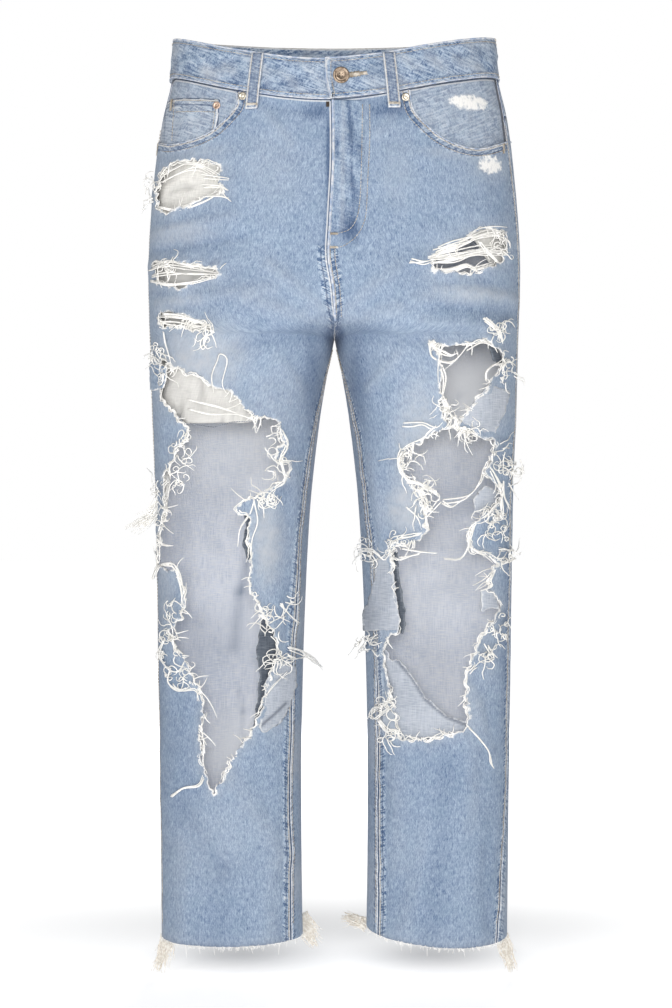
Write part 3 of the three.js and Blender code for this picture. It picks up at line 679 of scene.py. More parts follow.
# Paler places as (x, z, half width, half height, how pale), and places of painted shade the same way:
# beside the fly, in the crotch, under the waistband, on the thighs and down the legs' sides
pale = [
    (-133, -303, 46, 38, 0.75), (-150, -181, 36, 12, 0.4), (134, -241, 42, 10, 0.45), (83, -400, 26, 74, 0.7),
    (140, -348, 32, 28, 0.65), (-66, -480, 18, 48, 0.75), (44, -532, 20, 44, 0.7), (52, -650, 14, 26, 0.7),
    (-60, -630, 18, 40, 0.45), (-165, -520, 14, 60, 0.4), (-100, -235, 50, 45, 0.05),
    (-60, -350, 34, 40, 0.25), (70, -300, 36, 36, 0.08), (148, -560, 18, 60, 0.35),
    (-120, -770, 40, 50, 0.15), (70, -448, 20, 28, 0.8), (132, -51, 16, 6, 0.9), (150, -113, 9, 8, 0.9),
    (-140, -100, 40, 9, 0.3), (122, -104, 40, 7, 0.3), (150, -425, 14, 30, 0.4), (-152, -247, 30, 8, 0.3),
    (60, -120, 18, 40, 0.15), (-60, -120, 30, 40, 0.15),
]
paintedShade = [
    (-5.5, -118, 2.8, 62, 0.75), (-8, -200, 3, 40, 0.4), (46, -64, 12, 5, 0.5), (-160, -700, 30, 60, 0.12),
    (0, -276, 8, 22, 0.9), (-22, -330, 8, 44, 0.25), (22, -330, 8, 44, 0.25), (0, -240, 8, 30, 0.35),
    (14, -178, 9, 14, 0.75), (58, -62, 20, 9, 0.5), (-16, -64, 14, 7, 0.5), (-178, -640, 9, 160, 0.25),
    (-50, -480, 7, 80, 0.1), (172, -640, 7, 200, 0.25),
]


def blobs(table, x, z):
    # The strongest of some soft ellipses, each a bell curve to the cube of the distance
    return np.max([much * np.exp(-(((x - a) / w) ** 2 + ((z - b) / h) ** 2) ** 1.5)
                   for a, b, w, h, much in table], axis=0)


def arcs(points):
    # Distance of each grid point from the first and from the last column: the running sum along its row
    step = np.linalg.norm(np.diff(points, axis=1), axis=-1)
    run = np.concatenate([np.zeros((len(points), 1)), np.cumsum(step, axis=1)], axis=1)
    return run, run[:, -1:] - run


def dress(piece, material, node=None):
    # A finished piece: its material and body, and the node it stands for, hidden
    piece.data.materials.append(material)
    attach(piece, "root")
    if node:
        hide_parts(node)
    return piece


def declare(piece, node, material, slotName, flat, area):
    # Dresses a finished sheet. The rectangle it was cut from and the area of cloth that the cut keeps are not
    # used
    dress(piece, material, node)


def panelWall(name, sign, degrees, z, faces, reach, thickness, fields, lift=0.0):
    # Outer and inner face a thickness apart, with the cloth's own lengths across and down as its UV map
    outer = surface(sign, degrees, z, reach + lift)
    inner = surface(sign, degrees, z, reach - thickness + lift)
    run, _ = arcs(outer)
    uv = np.stack([run - run[:, -1:] / 2, -z], -1)
    return closedWall(name, outer, inner, faces, fields, uv)


def paintedFoldShade(x, z):
    # Painted shade of soft folds on the inside of the back, seen through the large rips: bell curves about
    # the lines from x, z to x, z, with a half width and how dark
    folds = [(-90, -504, -97, -534, 5, 0.7), (-97, -534, -103, -591, 6, 0.45), (-98, -635, -94, -656, 3, 0.4),
             (-94, -656, -96, -690, 3, 0.3), (112, -400, 104, -430, 7, 0.2), (130, -330, 112, -368, 4, 0.25)]
    return sum(much * bell(capsule(x, z, *line), wide) for *line, wide, much in folds)


panel = {
    "columns": 96, "rows": 336, "cell": 2.8,
    "backColumns": 60, "backRows": 200, "backCell": 4.2,
    "flat": (0.27, 0.86), "area": {"right": 0.126, "left": 0.121},
    "backFlat": {"back": ((0.33, 0.88), 0.234), "yoke": ((0.24, 0.10), 0.0131)},
    "edgeLift": 2.6, "hemFray": 1.7,  # how far a torn edge curls up, and how far the hems are unfrayed below
}
tornEdges = {}
for side, leg in legs.items():
    sign = leg["sign"]
    u, v = np.linspace(0, 1, panel["columns"] + 1)[None], np.linspace(0, 1, panel["rows"] + 1)[:, None]
    degrees, z = legPlace(leg, True, u, v)
    x = bodyPoint(sign, degrees, z)[..., 0]
    tornEdges[side] = [torn(outline, 20 + i) for i, outline in enumerate(rips[side])]
    scoop = curve(scoops[side], 40)
    pocket = np.vstack([scoop, [(sign * 215, scoop[-1, 1]), (sign * 215, 30), (scoop[0, 0], 30)]])
    deepTear, _, _, _ = cutGrid(x, z, panel["cell"], tornEdges[side])
    deepScoop, _, _, _ = cutGrid(x, z, panel["cell"], [pocket])
    _, newX, newZ, faces = cutGrid(x, z, panel["cell"], tornEdges[side] + [pocket])
    degrees, z = carried(sign, degrees, x, z, newX, newZ)
    x = bodyPoint(sign, degrees, z)[..., 0]
    fromSide, fromInner = arcs(bodyPoint(sign, degrees, z))
    fromBand = bandHeightAt(sign, degrees, body["bandHeight"]) - z
    fromHem = z - hemHeight(leg, degrees)
    fromTear, fromScoop = np.maximum(-deepTear, 0), np.maximum(-deepScoop, 0)
    scuff = np.clip(5 * (np.hypot((x - 152) / 10, (z + 112) / 8) - 0.85), 0.2, 40)
    tear = np.minimum.reduce([fromTear, fromHem + panel["hemFray"], scuff])
    lift = panel["edgeLift"] * np.exp(-fromTear / 5) * np.clip(0.7 + 0.9 * ripple(x, z, 34, 50), 0, 1.6)
    crease = creased(x, z, True)
    # The pale field here is wear, plus a painted highlight on crease ridges. The deep field is painted shade
    # beside the fly, in the crotch, under the band, in crease troughs and along the scoops, with a dark line
    # just above the hem
    fields = {
        "tear": tear,
        "seam": np.minimum.reduce([fromBand, fromScoop, fromSide, fromInner]),
        "band": np.clip(np.maximum.reduce([(8.5 - fromScoop) / 1.5, (11 - fromInner) / 2 * (z < -196),
                                           (8 - fromSide) / 2 * (sign > 0)]), 0, 1),
        "worn": np.maximum(blobs(pale, x, z), 0.4 * np.exp(-tear / 7)) + 0.08 * np.clip(crease, 0, 3),
        "deep": (blobs(paintedShade, x, z) + 0.07 * np.clip(-crease, 0, 3)
                 + 0.8 * bell(fromHem - 1.2, 1.3) + 0.3 * np.clip((8 - fromScoop) / 1.5, 0, 1)),
    }
    piece = panelWall(f"{side}_front", sign, degrees, z, faces, 0.0, cloth["denim"], fields, lift)
    declare(piece, f"front_{side}", denim, "denim", panel["flat"], panel["area"][side])

    u = np.linspace(0, 1, panel["backColumns"] + 1)[None]
    v = np.linspace(0, 1, panel["backRows"] + 1)[:, None]
    degrees, z = legPlace(leg, False, u, v)
    x = bodyPoint(sign, degrees, z)[..., 0]
    fromSide, fromInner = arcs(bodyPoint(sign, degrees, z))
    centreZ, sideZ, sideX = body["yoke"]
    yokeLine = [(-10, centreZ), (0, centreZ), (sideX, sideZ), (225, sideZ)]
    crease, fade = creased(x, z, False), ripple(x, z, 120, 60)
    # Painted shade in the crotch
    dark = 0.8 * np.exp(-((x / 22) ** 2 + ((z + 276) / 26) ** 2))
    fromHem = z - hemHeight(leg, degrees)
    fromBand = bandHeightAt(sign, degrees, body["bandHeight"]) - z
    for kind, gap, end in (("back", -body["seamGap"] / 2, -990), ("yoke", body["seamGap"] / 2, 80)):
        outline = [(sign * a, b + gap) for a, b in yokeLine] + [(sign * 225, end), (sign * -10, end)]
        outline = np.array(outline)
        deep, _, newZ, faces = cutGrid(x, z, panel["backCell"], [outline], keep=True)
        newZ = np.where(np.abs(newZ - z) < 6, newZ, z)
        fromYoke = np.maximum(-deep, 0)
        # Outside, paler by a random fade and by a painted highlight on crease ridges; inside, paler by a
        # random fade and by painted light at set heights, where the back lies deep behind the rips. The deep
        # field is painted shade: in the crotch and crease troughs, and inside in soft folds and lower down on
        # the wearer's right
        fields = {
            "tear": fromHem + panel["hemFray"],
            "seam": np.minimum.reduce([fromYoke, fromSide, fromInner, fromBand]),
            "band": np.clip(np.maximum.reduce([(8 - fromYoke) / 2, (7 - fromInner) / 2,
                                               (12 - fromSide) / 3 * (sign > 0)]), 0, 1),
            "worn": (np.clip(0.1 + 0.3 * fade + 0.12 * crease, 0, 1),
                     np.clip(0.12 + 0.2 * fade, 0, 1) + 0.9 * bell(z + 320, 50)
                     + 0.5 * bell(z + 700, 30) * (x < 0) + 0.5 * bell(z + 340, 30) * (x > 0)),
            "deep": (dark + 0.1 * np.clip(-crease, 0, 3),
                     dark + paintedFoldShade(x, z) + 0.3 * bell(z + 575, 46) * (x < 0)),
        }
        piece = panelWall(f"{side}_{kind}", sign, degrees, newZ, faces, 0.0, cloth["denim"], fields)
        declare(piece, f"{kind}_{side}", denim, "denim", *panel["backFlat"][kind])
print("panels ready")

# What lies inside the front: denim facings behind the scoops, and the cotton pocket bags. Each has its
# outline, its flat size and kept area
under = {
    "right": {"facing": [(-84, 20), (-84, -66), (-98, -98), (-130, -104), (-215, -104), (-215, 20)],
              "bag": [(-74, 20), (-66, -150), (-60, -340), (-66, -362), (-84, -366), (-146, -366),
                      (-166, -352), (-215, -320), (-215, 20)],
              "facingCut": ((0.13, 0.10), 0.0101), "bagCut": ((0.16, 0.40), 0.0555)},
    "left": {"facing": [(62, 20), (62, -66), (80, -108), (110, -120), (215, -122), (215, 20)],
             "bag": [(70, 20), (84, -150), (128, -176), (140, -190), (155, -210), (215, -236), (215, 20)],
             "facingCut": ((0.13, 0.11), 0.0110), "bagCut": ((0.14, 0.26), 0.0191)},
}
pocketLayers = {"columns": 72, "rows": 120, "low": 0.5, "cell": 3.6, "facingReach": -2.8, "bagReach": -4.3}


def plainFields(shape, **given):
    # The fields of unworn cloth, far from any seam or tear, with the given ones in their place
    fields = {"tear": np.full(shape, 40.0), "seam": np.full(shape, 40.0), "band": np.zeros(shape),
              "worn": np.zeros(shape), "deep": np.zeros(shape)}
    fields.update({key: np.broadcast_to(value, shape).astype(float) for key, value in given.items()})
    return fields


for side, leg in legs.items():
    sign = leg["sign"]
    u = np.linspace(0, 1, pocketLayers["columns"] + 1)[None]
    v = np.linspace(0, pocketLayers["low"], pocketLayers["rows"] + 1)[:, None]
    degrees, z = legPlace(leg, True, u, v)
    x = bodyPoint(sign, degrees, z)[..., 0]
    for kind, thick, material, slotName in (("facing", cloth["denim"], denim, "denim"),
                                            ("bag", cloth["bag"], cotton, "cotton")):
        outline = np.array(under[side][kind], float)
        _, newX, newZ, faces = cutGrid(x, z, pocketLayers["cell"], [outline], keep=True)
        degreesNow, newZ = carried(sign, degrees, x, z, newX, newZ)
        x = bodyPoint(sign, degreesNow, newZ)[..., 0]
        if kind == "facing":
            fromBand = bandHeightAt(sign, degreesNow, body["bandHeight"]) - newZ
            scuff = np.clip(5 * (np.hypot((x - 133) / 17, (newZ + 51) / 6.5) - 0.9), 0.1, 40)
            fields = plainFields(x.shape, seam=fromBand, tear=scuff, band=0.3,
                                 worn=0.32 + blobs(pale, x, newZ))
            sink = 0.0
        else:
            folds = (np.clip(ripple(x * 0.35, newZ, 15, 71), 0, 2) * (newZ > -200)
                     + np.clip(ripple(x, newZ * 0.2, 13, 72), 0, 2) * (newZ <= -200))
            # Painted shade: darker lower down, where the bag lies behind the front, less so at the very
            # bottom, and in the troughs of its folds
            dark = np.clip((-170 - newZ) / 60, 0, 1) - 0.6 * np.clip((-296 - newZ) / 24, 0, 1)
            fields = plainFields(x.shape, deep=dark + 0.5 * np.clip(folds - 0.6, 0, 1))
            sink = -2.6 * folds
        piece = panelWall(f"{side}_pocket_{kind}", sign, degreesNow, newZ, faces,
                          pocketLayers[f"{kind}Reach"], thick, fields, sink)
        declare(piece, f"pocket_{kind}_{side}", material, slotName, *under[side][f"{kind}Cut"])


def patch(name, outline, step, front, reach, taper=None, reverse=(0.0, 1.0), **given):
    # A small piece on the cloth: a grid over its outline, cut to it and carried on to the surface. A taper
    # from 0 to 1 brings its outer face down
    outline = np.array(outline, float)
    low, high = outline.min(0) - step, outline.max(0) + step
    x, z = np.meshgrid(np.arange(low[0], high[0] + step, step), np.arange(high[1], low[1] - step, -step))
    deep, x, z, faces = cutGrid(x, z, step, [outline], keep=True)
    sign = np.sign(outline[:, 0].mean())
    degrees = angleAt(sign, x, z, front)
    rise = reach if taper is None else 0.3 + (reach - 0.3) * taper(x, z)
    outer = surface(sign, degrees, z, rise)
    inner = surface(sign, degrees, z, reach - cloth["denim"])
    given = {"seam": lambda x, z, d: np.maximum(d, 0), **given}
    fields = plainFields(x.shape, **{key: value(x, z, -deep) for key, value in given.items()})
    return closedWall(name, outer, inner, faces, fields, np.stack([x, -z], -1), reverse)


coin = [(-176, -45), (-158, -44), (-112, -50), (-114, -70), (-119, -96), (-176, -96)]
piece = patch("coin_pocket_patch", coin, 2.2, True, -1.5,
              band=lambda x, z, d: np.clip((z + 62 + (x + 112) * -0.06) / 2, 0.4, 1),
              worn=lambda x, z, d: 0.36 + 0 * x)
declare(piece, "coin_pocket", denim, "denim", (0.09, 0.06), 0.0052)

flyLine = [(z, along(body["flyEdge"], z)) for z in np.linspace(-54, -184, 14)]
flyPatch = [(28, -53.5), (29, -90), (28, -130), (26, -156), (20, -171), (10, -180), (-4, -184)]
flyOutline = np.array(flyPatch + [(x + 0.6, z) for z, x in flyLine[::-1]])
piece = patch("fly_patch", flyOutline, 2.0, True, 1.5,
              lambda x, z: np.clip((31 - x) / 26, 0.08, 1) * np.clip((z + 186) / 12, 0.08, 1),
              seam=lambda x, z, d: np.minimum(x - along(body["flyEdge"], z), 40) + 0.4,
              band=lambda x, z, d: 0.16 + 0 * x,
              # A fold down the fly, with a painted highlight on one side and a painted dark line in it, and
              # painted shade from the shade table
              worn=lambda x, z, d: 0.3 * bell(x - 9 - z * 0.01, 2.5),
              deep=lambda x, z, d: np.maximum(blobs(paintedShade, x, z), 0.7 * bell(x - 12 + z * 0.04, 1.8)
                                              + 0.25 * ripple(x * 4, z * 0.6, 30, 90)))
declare(piece, "fly", denim, "denim", (0.036, 0.132), 0.0040)

backPocket = [(12, -108), (156, -80), (150, -225), (84, -254), (22, -240)]
for side, leg in legs.items():
    outline = [(leg["sign"] * a, b) for a, b in backPocket]
    piece = patch(f"{side}_back_pocket_patch", outline, 3.0, False, 1.5,
                  band=lambda x, z, d: np.clip((9 - d) / 2, 0, 1),
                  worn=lambda x, z, d: 0.3 + 0.3 * ripple(x, z, 40, 9))
    declare(piece, f"back_pocket_{side}", denim, "denim", (0.16, 0.17), 0.0224)
print("pockets and fly ready")

# Cloth folded over, turned under or lying loose at the rips: name, side, reach, what shows, a crease or
# None, and the outline. Pieces that show shade are dark cloth painted as the shadow in slits and under
# turned edges, and a crease gets a painted dark line. It belongs to the front panel there
flaps = [
    ("right_fold", -1, 1.7, "reverse", [(-74, -662), (-62, -652), (-49, -640)],
     [(-74, -660), (-68, -634), (-70, -623), (-60, -602), (-50, -600), (-40, -604), (-39, -625),
      (-46, -645), (-52, -658), (-62, -663), (-71, -669)]),
    ("right_turned_edge", -1, -2.6, "shade", None,
     [(-67, -550), (-61, -557), (-55, -572), (-54, -595), (-60, -613), (-66, -634), (-71, -659),
      (-79, -664), (-74, -633), (-72, -613), (-75, -587), (-71, -564)]),
    ("right_turned_slit", -1, -2.6, "shade", None,
     [(-87, -450), (-78, -450), (-77, -477), (-78, -498), (-84, -500), (-89, -484), (-86, -470)]),
    ("right_tab", -1, 2.2, "blue", None,
     [(-183, -304), (-176, -303), (-163, -311), (-162, -319), (-165, -330), (-176, -332), (-183, -329)]),
    ("left_strip", 1, 2.2, "reverse", None,
     [(41, -499), (55, -493), (59, -512), (61, -533), (65, -565), (63, -568), (51, -567), (30, -571),
      (29, -555), (36, -532), (41, -515)]),
    ("left_turned_edge", 1, -2.2, "shade", None,
     [(52, -490), (60, -491), (62, -517), (66, -539), (69, -563), (66, -571), (60, -571), (55, -520)]),
    ("left_hanging", 1, -1.6, "reverse",
     [(49, -574), (61, -598), (75, -614), (88, -635), (109, -652), (131, -661)],
     [(44, -577), (55, -598), (63, -596), (75, -611), (88, -632), (109, -650), (133, -659), (130, -667),
      (99, -672), (64, -676), (56, -655), (50, -628), (47, -600)]),
    ("left_turned_corner", 1, 1.3, "reverse", None,
     [(122, -362), (135, -344), (149, -329), (160, -330), (172, -333), (165, -356), (152, -380),
      (144, -380), (135, -373)]),
    ("left_slit", 1, 0.35, "shade", None, [(90, -289), (97, -287), (106, -293), (105, -298), (97, -294)]),
    ("left_corner_shade", 1, -2.2, "shade", None,
     [(152, -290), (161, -293), (168, -302), (166, -309), (158, -305)]),
    ("left_scrap", 1, 0.9, "reverse", None,
     [(143, -527), (153, -528), (160, -541), (161, -547), (153, -546), (144, -550)]),
    ("left_pale_strip", 1, -1.6, "reverse", None,
     [(136, -440), (149, -426), (160, -430), (163, -441), (152, -452), (138, -453)]),
]


def nearLine(points, x, z):
    # Distance to the nearest stretch of a line through points
    return np.min([capsule(x, z, *a, *b) for a, b in zip(points[:-1], points[1:])], axis=0)


flapPieces = {-1: [], 1: []}
for name, sign, reach, shows, crease, outline in flaps:
    ragged = torn(np.array(outline, float), 30 + len(name), 0.6)
    piece = patch(f"{name}_flap", ragged, 1.7, True, reach, reverse=(float(shows != "blue"), 1.0),
                  seam=lambda x, z, d: 40 + 0 * x, tear=lambda x, z, d: np.maximum(d, 0) + 0.3,
                  deep=lambda x, z, d: bell(nearLine(crease, x, z), 1.5) if crease else 0 * x)
    dress(piece, {"reverse": foldedDenim, "shade": shadedDenim, "blue": denim}[shows])
    flapPieces[sign].append(piece)
print("flaps ready")

# The waistband: round from its wearer's-left end at the centre front, and under itself to the other end
band = {
    "perPanel": 44, "rows": 10, "overlap": 3,  # columns in each panel's stretch, and past the centre in front
    "lapReach": 3.5, "lapFrom": 34, "lapFade": 26,  # how proud the lapped end stands, and where it settles
    "underlap": 32,
}


def bandGrid():
    # Angle and side of each column: the panels' columns in order round the waist, and the ends past them
    angles, signs = [], []
    steps = np.linspace(0, 1, band["perPanel"] + 1)
    for side, front, order in (("left", True, steps[::-1]), ("left", False, steps[1:]),
                               ("right", False, steps[-2::-1]), ("right", True, steps[1:])):
        degrees, _ = legPlace(legs[side], front, order, np.zeros_like(order))
        angles.append(degrees)
        signs.append(np.full(len(order), float(legs[side]["sign"])))
    under = np.linspace(2, band["underlap"], 8)
    angles.append(angleAt(-1, under, -30 + 0 * under))
    signs.append(np.full(len(under), -1.0))
    extra = np.linspace(-8.5, -3.5, band["overlap"])
    angles.insert(0, angleAt(1, extra, -30 + 0 * extra))
    signs.insert(0, np.full(len(extra), 1.0))
    return np.concatenate(angles), np.concatenate(signs)


degrees, sign = bandGrid()
count = len(degrees)
v = np.linspace(0, 1, band["rows"] + 1)[:, None]
top, low = bandHeightAt(sign, degrees, 0), bandHeightAt(sign, degrees, body["bandHeight"]) + 0.15
z = top + (low - top) * v
degrees, sign = np.broadcast_to(degrees, z.shape), np.broadcast_to(sign, z.shape)
x = bodyPoint(sign, degrees, z)[..., 0]
pulled = angleAt(1, x + 5 * (v - 0.5) * 2 * (x < -3), z)
degrees = np.where((np.arange(count) < band["overlap"]) & (v > 0.5), pulled, degrees)
steps = np.linalg.norm(np.diff(bodyPoint(sign, degrees, z)[5], axis=0), axis=1)
fromEnd = np.cumsum(np.r_[0, steps])
fade = np.clip((fromEnd - band["lapFrom"]) / band["lapFade"], 0, 1)
lapLift = np.where(np.arange(count) < count / 2, band["lapReach"] * (1 - fade ** 2 * (3 - 2 * fade)), 0)
wrinkle = 0.7 * ripple(fromEnd + z * 1.2, z * 1.6, 26, 80) + 0.55 * ripple(fromEnd + z * 0.8, z * 0.6, 11, 81)
reach = cloth["bandProud"] + lapLift + (wrinkle + 0.5) * np.sin(np.pi * np.clip(v, 0.02, 0.98)) ** 0.7
bandOuter = surface(sign, degrees, z, reach)
bandInner = surface(sign, degrees, z, cloth["bandProud"] + lapLift - cloth["band"])
seam = np.minimum.reduce([np.maximum(top - z, 0) + 1.2, np.maximum(z - low, 0) + 1.1, fromEnd + 1 + 0 * z])
fields = plainFields(z.shape, seam=seam,
                     worn=np.clip(0.25 * ripple(fromEnd + z, z, 30, 82) + 0.1, 0, 1),
                     deep=np.clip(0.3 * ripple(fromEnd - z, z * 1.5, 34, 83) - 0.1, 0, 0.3),
                     band=np.clip((6 - np.minimum(top - z, z - low)) / 4, 0.35, 0.8))
uv = np.stack([fromEnd + 0 * z, -z], -1)
piece = closedWall("waistband_strip", bandOuter, bandInner, [gridFaces(z.shape)], fields, uv, (0.0, 0.0))
declare(piece, "waistband", denim, "denim", (1.04, 0.04), 0.0400)

# Belt loops: the node, whether in front, and x at the top and at the foot
loops = [
    ("belt_loop_front_right", True, -74, -80), ("belt_loop_front_left", True, 52.5, 58),
    ("belt_loop_side_right", False, -108, -110), ("belt_loop_side_left", False, 108, 110),
    ("belt_loop_back", False, 2, 2),
]
loopSize = {"width": 12.5, "length": 55, "thickness": 1.8, "rise": 2.2, "columns": 8, "rows": 30}
loopEdges = []


def loopFaces(head, foot, across, out, a, v):
    # Outer and inner face: a strip from head to foot that stands off the band as a low sine arch, with the
    # outer face a little crowned
    arch = 0.9 + loopSize["rise"] * np.sin(np.pi * v) ** 0.6
    base = head + (foot - head) * v[..., None] + across * (a * loopSize["width"])[..., None]
    crown = loopSize["thickness"] - 0.4 + 0.5 * (1 - (2 * a) ** 4)
    return base + out * (arch + crown)[..., None], base + out * arch[..., None]


for node, front, topX, lowX in loops:
    topZ = float(bandLine(topX, front, 1))
    head, foot = onCloth([topX, lowX], [topZ, topZ - loopSize["length"]], [1.0, 0.6], front)
    near = onCloth([topX - 1, topX + 1], [topZ, topZ], 0, front)
    across = (near[1] - near[0]) * (1, 1, 0)
    across /= np.linalg.norm(across)
    out = np.cross(across, (0, 0, 1.0)) * (1 if front else -1)
    a, v = np.meshgrid(np.linspace(-0.5, 0.5, loopSize["columns"] + 1),
                       np.linspace(0, 1, loopSize["rows"] + 1))
    outer, inner = loopFaces(head, foot, across, out, a, v)
    fields = plainFields(a.shape, worn=0.3, band=0.5, deep=0.2 + 0.5 * (np.abs(np.abs(a) - 0.27) < 0.07),
                         seam=np.minimum((0.5 - np.abs(a)) * loopSize["width"],
                                         (1 - v) * loopSize["length"]) + 0.9)
    uv = np.stack([a * loopSize["width"], v * loopSize["length"]], -1)
    name = node.replace("belt_loop", "loop_strip")
    piece = closedWall(name, outer, inner, [gridFaces(a.shape)], fields, uv)
    declare(piece, node, denim, "denim", (0.0125, 0.056), 0.0007)
    loopEdges += [outer[1:-1, 1] + out * 0.15, outer[1:-1, -2] + out * 0.15]
    loopEdges += [outer[27, 1:-1] + out * 0.2, outer[28, 1:-1] + out * 0.2]
print("waistband and loops ready")

# Sewing: rows of short stitches standing just proud of the cloth, with each row's distance from its seam
stitch = {
    "pitch": 3.3, "length": 2.5, "radius": 0.38, "lift": 0.4,
    "scoop": (1.6, 7.0), "rise": (2.5, 7), "yoke": (3, 8.5), "outseam": 2.5, "backRise": 2.5,
    "inseam": ((True, 3.5, -872), (False, 4, -860)),  # in front or behind, the distance and the lowest stitch
    "pocketShrink": (0.975, 0.915), "pocketHem": (4, 13), "pocketLift": 1.9, "coinLift": -1.1,
    "bagDepth": -3.4, "loopPitch": 2.6, "loopLength": 2.0, "loopRadius": 0.34, "innerLift": 1.0,
    "tackSteps": 24,
}


def beside(line, distance):
    # A line moved sideways by a distance, to its right as it runs: along the slope turned by a right angle
    ahead = np.gradient(np.asarray(line, float), axis=0)
    ahead /= np.linalg.norm(ahead, axis=1, keepdims=True)
    return line + distance * np.stack([ahead[:, 1], -ahead[:, 0]], -1)


def drawn(points, lift):
    # A smooth line through places, laid on the cloth in front
    line = evenly(curve(points, 60), 1.5)
    return onCloth(line[:, 0], line[:, 1], lift)


def dashes(rows, pitch, length):
    # Cuts each row into stitches of three points, a pitch apart along its running length
    cut = []
    for row in rows:
        run = np.r_[0, np.cumsum(np.linalg.norm(np.diff(row, axis=0), axis=1))]
        at = np.arange(0, run[-1] - length, pitch)[:, None] + np.array([0, 0.5, 1]) * length
        cut.append(np.stack([np.interp(at, run, axis) for axis in row.T], -1))
    return np.concatenate(cut)


jLine = [(34, -58), (34, -93), (32, -132), (31, -156), (29, -171), (22, -185), (10, -195), (-2, -198)]
jInner = [(27, -58), (26.5, -93), (25.5, -132), (24, -156), (21, -170), (14, -180), (2, -184)]
rows = [drawn(jLine, stitch["lift"]), drawn(jInner, stitch["innerLift"])]
for side, leg in legs.items():
    sign = leg["sign"]
    scoop = curve(scoops[side], 50)
    for away in stitch["scoop"]:
        row = beside(scoop, away * sign)
        row = row[np.abs(row[:, 0]) < 174]
        rows.append(onCloth(row[:, 0], row[:, 1], stitch["lift"]))
    if side == "left":
        z = np.linspace(-196, -262, 40)
        rows += [onCloth(along(body["flyEdge"], z) + away, z, 0.5) for away in stitch["rise"]]
    for front, away, lowest in stitch["inseam"]:
        z = np.linspace(-290, lowest, 500)
        turn = np.degrees(away / section(z)[1])
        inseam = along(body["inseam"], z) - (0 if front else 360)
        rows.append(surface(sign, inseam + (-turn if front else turn), z, stitch["lift"]))
    z = np.linspace(-70, -860, 700)
    turn = np.degrees(stitch["outseam"] / section(z)[1])
    rows.append(surface(sign, along(leg["outseam"], z) + turn, z, stitch["lift"]))
    z = np.linspace(-100, -268, 120)
    rows.append(onCloth(sign * (stitch["backRise"] + 0 * z), z, 0.45, False))
    a = np.linspace(8, 160, 100)
    centreZ, sideZ, sideX = body["yoke"]
    for drop in stitch["yoke"]:
        rows.append(onCloth(sign * a, centreZ + (sideZ - centreZ) * a / sideX - drop, 0.5, False))
    for share in stitch["pocketShrink"]:
        shape = (np.array(backPocket[1:] + backPocket[:1], float) - (85, -165)) * share + (85, -165)
        line = evenly(shape, 2)
        rows.append(onCloth(sign * line[:, 0], line[:, 1], stitch["pocketLift"], False))
    for drop in stitch["pocketHem"]:
        a = np.linspace(16, 150, 60)
        rows.append(onCloth(sign * a, -108 + (a - 12) * 28 / 144 - drop, stitch["pocketLift"], False))
for x0, z0, x1, z1, points in ((-156, -46.5, -113, -52.5, 30), (-156, -58.5, -116, -62.5, 30),
                               (-115.5, -56, -121, -94, 20), (-158, -46, -160, -90, 20)):
    rows.append(onCloth(np.linspace(x0, x1, points), np.linspace(z0, z1, points), stitch["coinLift"]))
outward = bandOuter[5] - bandOuter[5].mean(0)
outward = outward * (1, 1, 0) / np.linalg.norm(outward * (1, 1, 0), axis=1, keepdims=True)
for level in (1, -2):
    rows.append(evenly((bandOuter[level] + outward * 0.35)[2:-9], 1.5))
rows.append(evenly(bandOuter[1:-1, 2] + (0, -0.3, 0), 1.5))
stitches = tubes("topstitching", dashes(rows, stitch["pitch"], stitch["length"]), stitch["radius"])
loopRows = dashes(loopEdges, stitch["loopPitch"], stitch["loopLength"])
loopStitches = tubes("loop_stitching", loopRows, stitch["loopRadius"])


def zigzag(x0, z0, x1, z1, wide, lift, front=True):
    # A bar tack: steps along a short line, swung to either side of it in turn
    t = np.linspace(0, 1, stitch["tackSteps"])
    way = np.array([z1 - z0, x0 - x1], float)
    way /= np.linalg.norm(way)
    swing = np.where(np.arange(stitch["tackSteps"]) % 2, 0.5, -0.5) * wide
    return onCloth(x0 + (x1 - x0) * t + way[0] * swing, z0 + (z1 - z0) * t + way[1] * swing, lift, front)


def resampled(line, pitch, count):
    # The same line with just so many points
    line = evenly(line, pitch)
    return line[np.linspace(0, len(line) - 1, count).astype(int)]


line = evenly([(-142, -366), (-118, -370), (-99, -365), (-76, -364), (-57, -360)], 1.5)
bagHem = surface(-1, angleAt(-1, line[:, 0], line[:, 1]), line[:, 1], stitch["bagDepth"])
bagStitches = tubes("bag_stitching", dashes([bagHem], 2.4, 1.8), 0.4)
# Bar tacks at the fly, coin pocket, scoops and buttonhole: from x, z to x, z, with a width and a lift
tacks = [
    (-6, -184, 3, -184, 2.4, 1.2), (-6, -197, 3, -197, 2.4, 0.7), (-161, -44, -162, -56, 3, -0.9),
    (-176, -84, -177, -96, 2.4, 0.9), (167, -88, 167, -99, 2.4, 0.9),
    (13, -31, 24, -29, 6.0, 6.0), (13.4, -31, 24.4, -29, 6.0, 6.2),
    (24, -29, 31.5, -28, 4.0, 6.0), (24.4, -29, 31, -28, 3.6, 6.1),
]
for node, front, topX, lowX in loops:
    foot = float(bandLine(topX, front, 1)) - loopSize["length"] + 4
    tacks.append((lowX - 5.5, foot, lowX + 5.5, foot, 2.6, 4.9, front))
barTacks = tubes("bar_tacks", np.array([resampled(zigzag(*tack), 0.1, 96) for tack in tacks]), 0.4)
for piece in (stitches, loopStitches, barTacks, bagStitches):
    dress(piece, greyThread if piece == bagStitches else tanThread)

